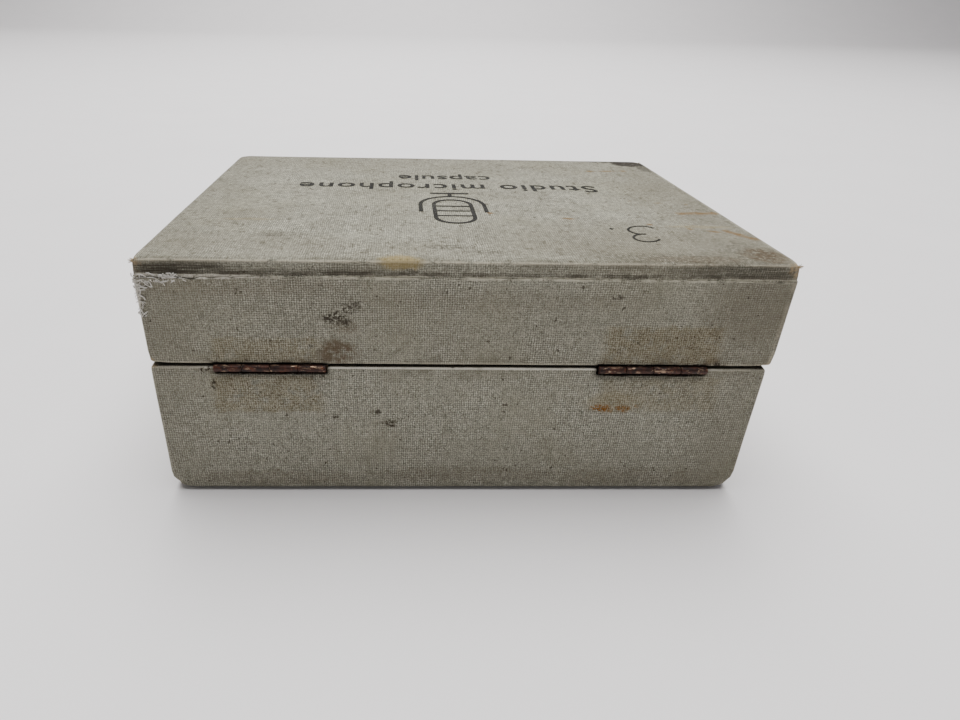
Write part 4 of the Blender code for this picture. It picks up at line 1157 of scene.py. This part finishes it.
def make_frayed_threads(pale, tan):
    """Loose threads where the strip has torn at its rear corner, and tufts at the worn corners."""
    draw = random.Random(23)
    points, faces = [], []
    for _ in range(96):
        x = 70.0 - 9.5 * draw.random() ** 1.5
        z = draw.uniform(56.3, 57.3) - draw.random() * 2.4 * max(0.0, (x - 65.0) / 5)
        if draw.random() < 0.3:
            x, z = draw.uniform(69.2, 70.0), draw.uniform(47.5, 56.5)
        heading, path = draw.uniform(0, 2 * math.pi), []
        y = LID_HIGH[1] + 0.08
        for _ in range(draw.randint(4, 7)):
            path.append((min(x, 70.3), y, min(z, 57.8)))
            heading += draw.uniform(-0.55, 0.55)
            x, z = x + 0.36 * math.cos(heading), z + 0.28 * math.sin(heading)
            y = min(max(y + draw.uniform(-0.06, 0.12), LID_HIGH[1] + 0.05), LID_HIGH[1] + 0.7)
        add_thread(path, draw.uniform(0.07, 0.14) * draw.choice((1.0, 1.0, 1.0, 1.6)), points, faces)
    piece("frayed_threads", points, faces, "lid", pale)
    points, faces = [], []
    tufts = [((70.0, 53.0, 60.3), (1, 1, 0.6), 26), ((-71.0, 53.0, 60.3), (-1, 1, 0.6), 16),
             ((-71.0, -53.0, 60.4), (-1, -1, 0.5), 8)]
    for corner, outward, count in tufts:
        for _ in range(count):
            start = Vector(corner) + Vector([draw.uniform(-0.7, 0.2) * a for a in outward])
            ahead = Vector([a * draw.uniform(0.0, 1.0) for a in outward]).normalized()
            path = [start, start + ahead * draw.uniform(0.15, 0.4)]
            path.append(path[-1] + (ahead + Vector([draw.uniform(-0.8, 0.8) for _ in "xyz"])) * 0.3)
            add_thread([tuple(p) for p in path], draw.uniform(0.05, 0.1), points, faces)
    piece("corner_tufts", points, faces, "lid", tan)


# ---- inside ---------------------------------------------------------------------------------------------

def dress(node, material, width):
    """Gives a CAD node its finish and eases its edges by width."""
    obj = frame["nodes"][node]
    obj.data.materials.clear()
    obj.data.materials.append(material)
    obj.data.polygons.foreach_set("use_smooth", [True] * len(obj.data.polygons))
    modifier(obj, "WELD", merge_threshold=0.002 * MM)
    bevel(obj, width, 32)
    modifier(obj, "WEIGHTED_NORMAL", keep_sharp=True)


def applied(obj):
    """Replaces the object's mesh by what its modifiers make of it."""
    graph = bpy.context.evaluated_depsgraph_get()
    mesh = bpy.data.meshes.new_from_object(obj.evaluated_get(graph))
    obj.modifiers.clear()
    obj.data = mesh


def soft_copy(node, name, body, material, voxel, shrink):
    """A voxel copy of a CAD node, drawn in by shrink, for soft covers."""
    source = frame["nodes"][node].data
    obj = linked(name, source.copy())
    obj.data.name = name
    modifier(obj, "WELD", merge_threshold=0.002 * MM)
    applied(obj)
    low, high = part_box(node)
    centre = (low + high) / 2
    for vertex in obj.data.vertices:
        for axis in range(3):
            half = (high[axis] - low[axis]) / 2
            vertex.co[axis] = centre[axis] + (vertex.co[axis] - centre[axis]) * (1 - shrink * MM / half)
    modifier(obj, "REMESH", mode="VOXEL", voxel_size=voxel * MM, use_smooth_shade=True)
    applied(obj)
    obj.data.materials.clear()
    obj.data.materials.append(material)
    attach(obj, body)
    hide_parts(node)
    return obj


def make_insert(material):
    """The padded block that holds the capsule, under velvet."""
    insert = soft_copy("insert_block", "velvet_insert", "base", material, voxel=1.1, shrink=0.25)
    modifier(insert, "SMOOTH", factor=0.6, iterations=4)
    applied(insert)
    ripple(insert, 0.16, 9.0, 7)


def make_lid_pad(material):
    """The pad glued in the lid, blown up by a cloth simulation and drawn in at its edges."""
    most_moved, drawn_in, fading = 1.3, 1.8, 9
    low, high = (np.array(v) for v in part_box("lid_pad"))
    pad = soft_copy("lid_pad", "satin_pad", "lid", material, voxel=2.4, shrink=0.9)
    start = np.array([v.co for v in pad.data.vertices])
    cloth = modifier(pad, "CLOTH").settings
    cloth.quality, cloth.mass = 5, 0.15
    cloth.use_pressure, cloth.uniform_pressure_force = True, 4.0
    cloth.effector_weights.gravity = 0.0
    scene = bpy.context.scene
    for frame_number in range(1, 21):
        scene.frame_set(frame_number)
    applied(pad)
    scene.frame_set(1)
    points = np.array([v.co for v in pad.data.vertices])
    moved = points - start
    far = np.linalg.norm(moved, axis=1, keepdims=True)
    points = start + moved * np.minimum(1.0, most_moved * MM / np.maximum(far, 1e-9))
    # the glued side stays flat, and the pad thins towards its edge
    centre, half = (low + high) / 2, (high - low) / 2
    inside = (half - np.abs(points - centre))[:, :2].min(axis=1)
    drawn = drawn_in * MM * np.exp(-np.maximum(inside, 0) / (fading * MM))
    under = points[:, 2] < centre[2]
    points[under, 2] += drawn[under]
    points = np.clip(points, low + 0.02 * MM, high - 0.02 * MM)
    for vertex, place in zip(pad.data.vertices, points):
        vertex.co = place
    modifier(pad, "SUBSURF", levels=1, render_levels=1)


def make_basket(wire, gauze):
    """The capsule's basket: crossed wires on two rings and a hoop, over fine gauze."""
    low, high = span("grille_basket")
    axis_y, axis_z = (low[1] + high[1]) / 2, (low[2] + high[2]) / 2
    radius = (high[2] - low[2]) / 2 - 0.28
    rim, crown = high[0], low[0] + 0.3
    shoulder = crown + radius

    def outline(inset):
        """(x, radius) from the rim to the crown, inside the wires by inset."""
        r = radius - inset
        line = [(x, r) for x in np.linspace(rim - 0.4, shoulder, 12)]
        return line + [(shoulder - r * math.sin(a), r * math.cos(a)) for a in np.linspace(0, 1.47, 15)[1:]]

    def shell(inset, sides):
        line = outline(inset)
        points = [(x, axis_y + r * math.sin(2 * math.pi * k / sides),
                   axis_z + r * math.cos(2 * math.pi * k / sides)) for x, r in line for k in range(sides)]
        return points, tube_faces(len(line), sides)

    points, faces = shell(0.0, 60)
    lattice = piece("basket_wires", points, faces, "base", wire)
    modifier(lattice, "WIREFRAME", thickness=0.5 * MM, use_even_offset=False)
    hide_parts("grille_basket")
    points, faces = shell(0.75, 72)
    faces.append(tuple(range((len(points) - 72), len(points))))
    inner = piece("basket_gauze", points, faces, "base", gauze)
    thicken(inner, 0.3)
    # rings and hoop
    points, faces = [], []
    hoop = [(rim - 0.2, axis_y, axis_z + radius)] + [(x, axis_y, axis_z + r) for x, r in outline(0.0)]
    hoop += [(crown, axis_y, axis_z)] + [(x, axis_y, axis_z - r) for x, r in reversed(outline(0.0))]
    add_thread(hoop, 0.62, points, faces, 8)
    for x in (rim - 0.5, shoulder):
        ring = [(x, axis_y + radius * math.sin(a), axis_z + radius * math.cos(a))
                for a in np.linspace(0, 2 * math.pi, 61)]
        add_thread(ring, 0.5, points, faces, 8)
    piece("basket_frame", points, faces, "base", wire)


def dress_inside():
    """Finishes for the CAD nodes that are shown as they are."""
    wood, lining = wood_board("pine"), lining_paper("lining_paper")
    nickel = metal("nickel_plate", srgb(172, 169, 160), srgb(96, 86, 68), 0.26)
    brass = metal("brass", srgb(196, 160, 92), srgb(130, 98, 54), 0.3)
    gold = metal("gold_film", srgb(214, 178, 104), srgb(190, 150, 84), 0.22)
    steel = rusty_steel("nail_steel")
    housing = enamel("hammered_enamel", srgb(94, 98, 96), srgb(120, 124, 120), srgb(150, 146, 136))
    resin = bakelite("bakelite")
    finishes = {"wood": (wood, 0.3), "lining": (lining, 0.12), "nickel": (nickel, 0.18),
                "brass": (brass, 0.12), "foil": (gold, 0.05), "housing": (housing, 0.22),
                "bakelite": (resin, 0.15)}
    for node, obj in sorted(frame["nodes"].items()):
        slot = obj.data.materials[0].name
        if "_nail_" in node:
            dress(node, steel, 0.1)
        elif slot in finishes:
            dress(node, *finishes[slot])


# ---- stage ----------------------------------------------------------------------------------------------

def make_stage():
    """A pale floor that curves up into a backdrop, soft light, and the camera."""
    g = Graph("pale_floor")
    point = g.place()
    tone = g.noise(point, 60.0, 3.0)
    material = g.finish(g.mix(tone, srgb(232, 229, 228), srgb(226, 223, 223)), 0.55,
                        g.bump(g.noise(point, 1.5, 3.0), 0.02))
    radius, back, front, side = 1.2, -3.2, 3.0, 5.0
    line = [(front, 0.0), (0.4, 0.0), (back, 0.0)]
    line += [(back - radius * math.sin(a), radius - radius * math.cos(a))
             for a in np.linspace(0.1, math.pi / 2, 14)]
    line += [(back - radius, 4.0)]
    rows = [(x, y, z - 0.00003) for y, z in line for x in (-side, side)]
    mesh = bpy.data.meshes.new("floor")
    mesh.from_pydata(rows, [], [(2 * i, 2 * i + 1, 2 * i + 3, 2 * i + 2) for i in range(len(line) - 1)])
    mesh.polygons.foreach_set("use_smooth", [True] * len(mesh.polygons))
    mesh.materials.append(material)
    linked("floor", mesh)

    world = bpy.data.worlds.new("studio")
    world.use_nodes = True
    world.node_tree.nodes["Background"].inputs[0].default_value = srgb(242, 241, 246)
    world.node_tree.nodes["Background"].inputs[1].default_value = 0.3
    bpy.context.scene.world = world
    for name, place, aim, size, power in (
            ("key_light", (0.0, -0.35, 1.7), (0.0, -0.1, 0.0), 2.0, 66.0),
            ("backdrop_light", (0.0, -2.6, 2.2), (0.0, -3.6, 0.2), 3.0, 95.0)):
        lamp = bpy.data.lights.new(name, "AREA")
        lamp.shape, lamp.size, lamp.energy = "DISK", size, power
        light = linked(name, lamp)
        light.location = place
        light.rotation_euler = (Vector(aim) - Vector(place)).to_track_quat("-Z", "Y").to_euler()

    camera = linked("camera", bpy.data.cameras.new("camera"))
    # fitted to the case's corners and edges; it looks from behind, which is where the photograph was taken
    camera.data.lens, camera.data.sensor_width, camera.data.shift_x = 24.1, 36.0, 0.0646
    camera.data.clip_start = 0.01
    turn = Matrix.Identity(4)
    for degrees, axis in ((180, "Z"), (-2.03, "Z"), (-28.5, "X"), (-1.31, "Y"), (90, "X")):
        turn = turn @ Matrix.Rotation(math.radians(degrees), 4, axis)
    camera.matrix_world = Matrix.Translation((0.0148, 0.1808, 0.10665)) @ turn
    bpy.context.scene.camera = camera


def main():
    make_stage()
    cloth, ink = book_cloth("book_cloth"), book_cloth("printed_cloth", ink=True)
    steel = rusty_steel("rusty_steel")
    pale = loose_thread("pale_thread", srgb(250, 247, 240), srgb(214, 208, 194))
    tan = loose_thread("tan_thread", srgb(212, 194, 162), srgb(150, 126, 92))
    dress_inside()
    make_base_cloth(cloth)
    make_lid_strip(cloth)
    make_lid_top(cloth)
    make_bottom_sheet(cloth)
    make_hinges(steel)
    make_fringe(loose_thread("fringe_thread", srgb(214, 208, 190), srgb(146, 138, 120)))
    make_frayed_threads(pale, tan)
    make_insert(velvet("red_velvet", srgb(64, 11, 18), srgb(86, 18, 26)))
    make_lid_pad(satin("ivory_satin"))
    gauze = metal("fine_gauze", srgb(96, 92, 84), srgb(60, 56, 50), 0.4)
    make_basket(metal("grille_wire", srgb(184, 178, 164), srgb(128, 118, 100), 0.26), gauze)
    make_emblem(ink)
    make_words(ink)
    make_numeral(ink)


main()
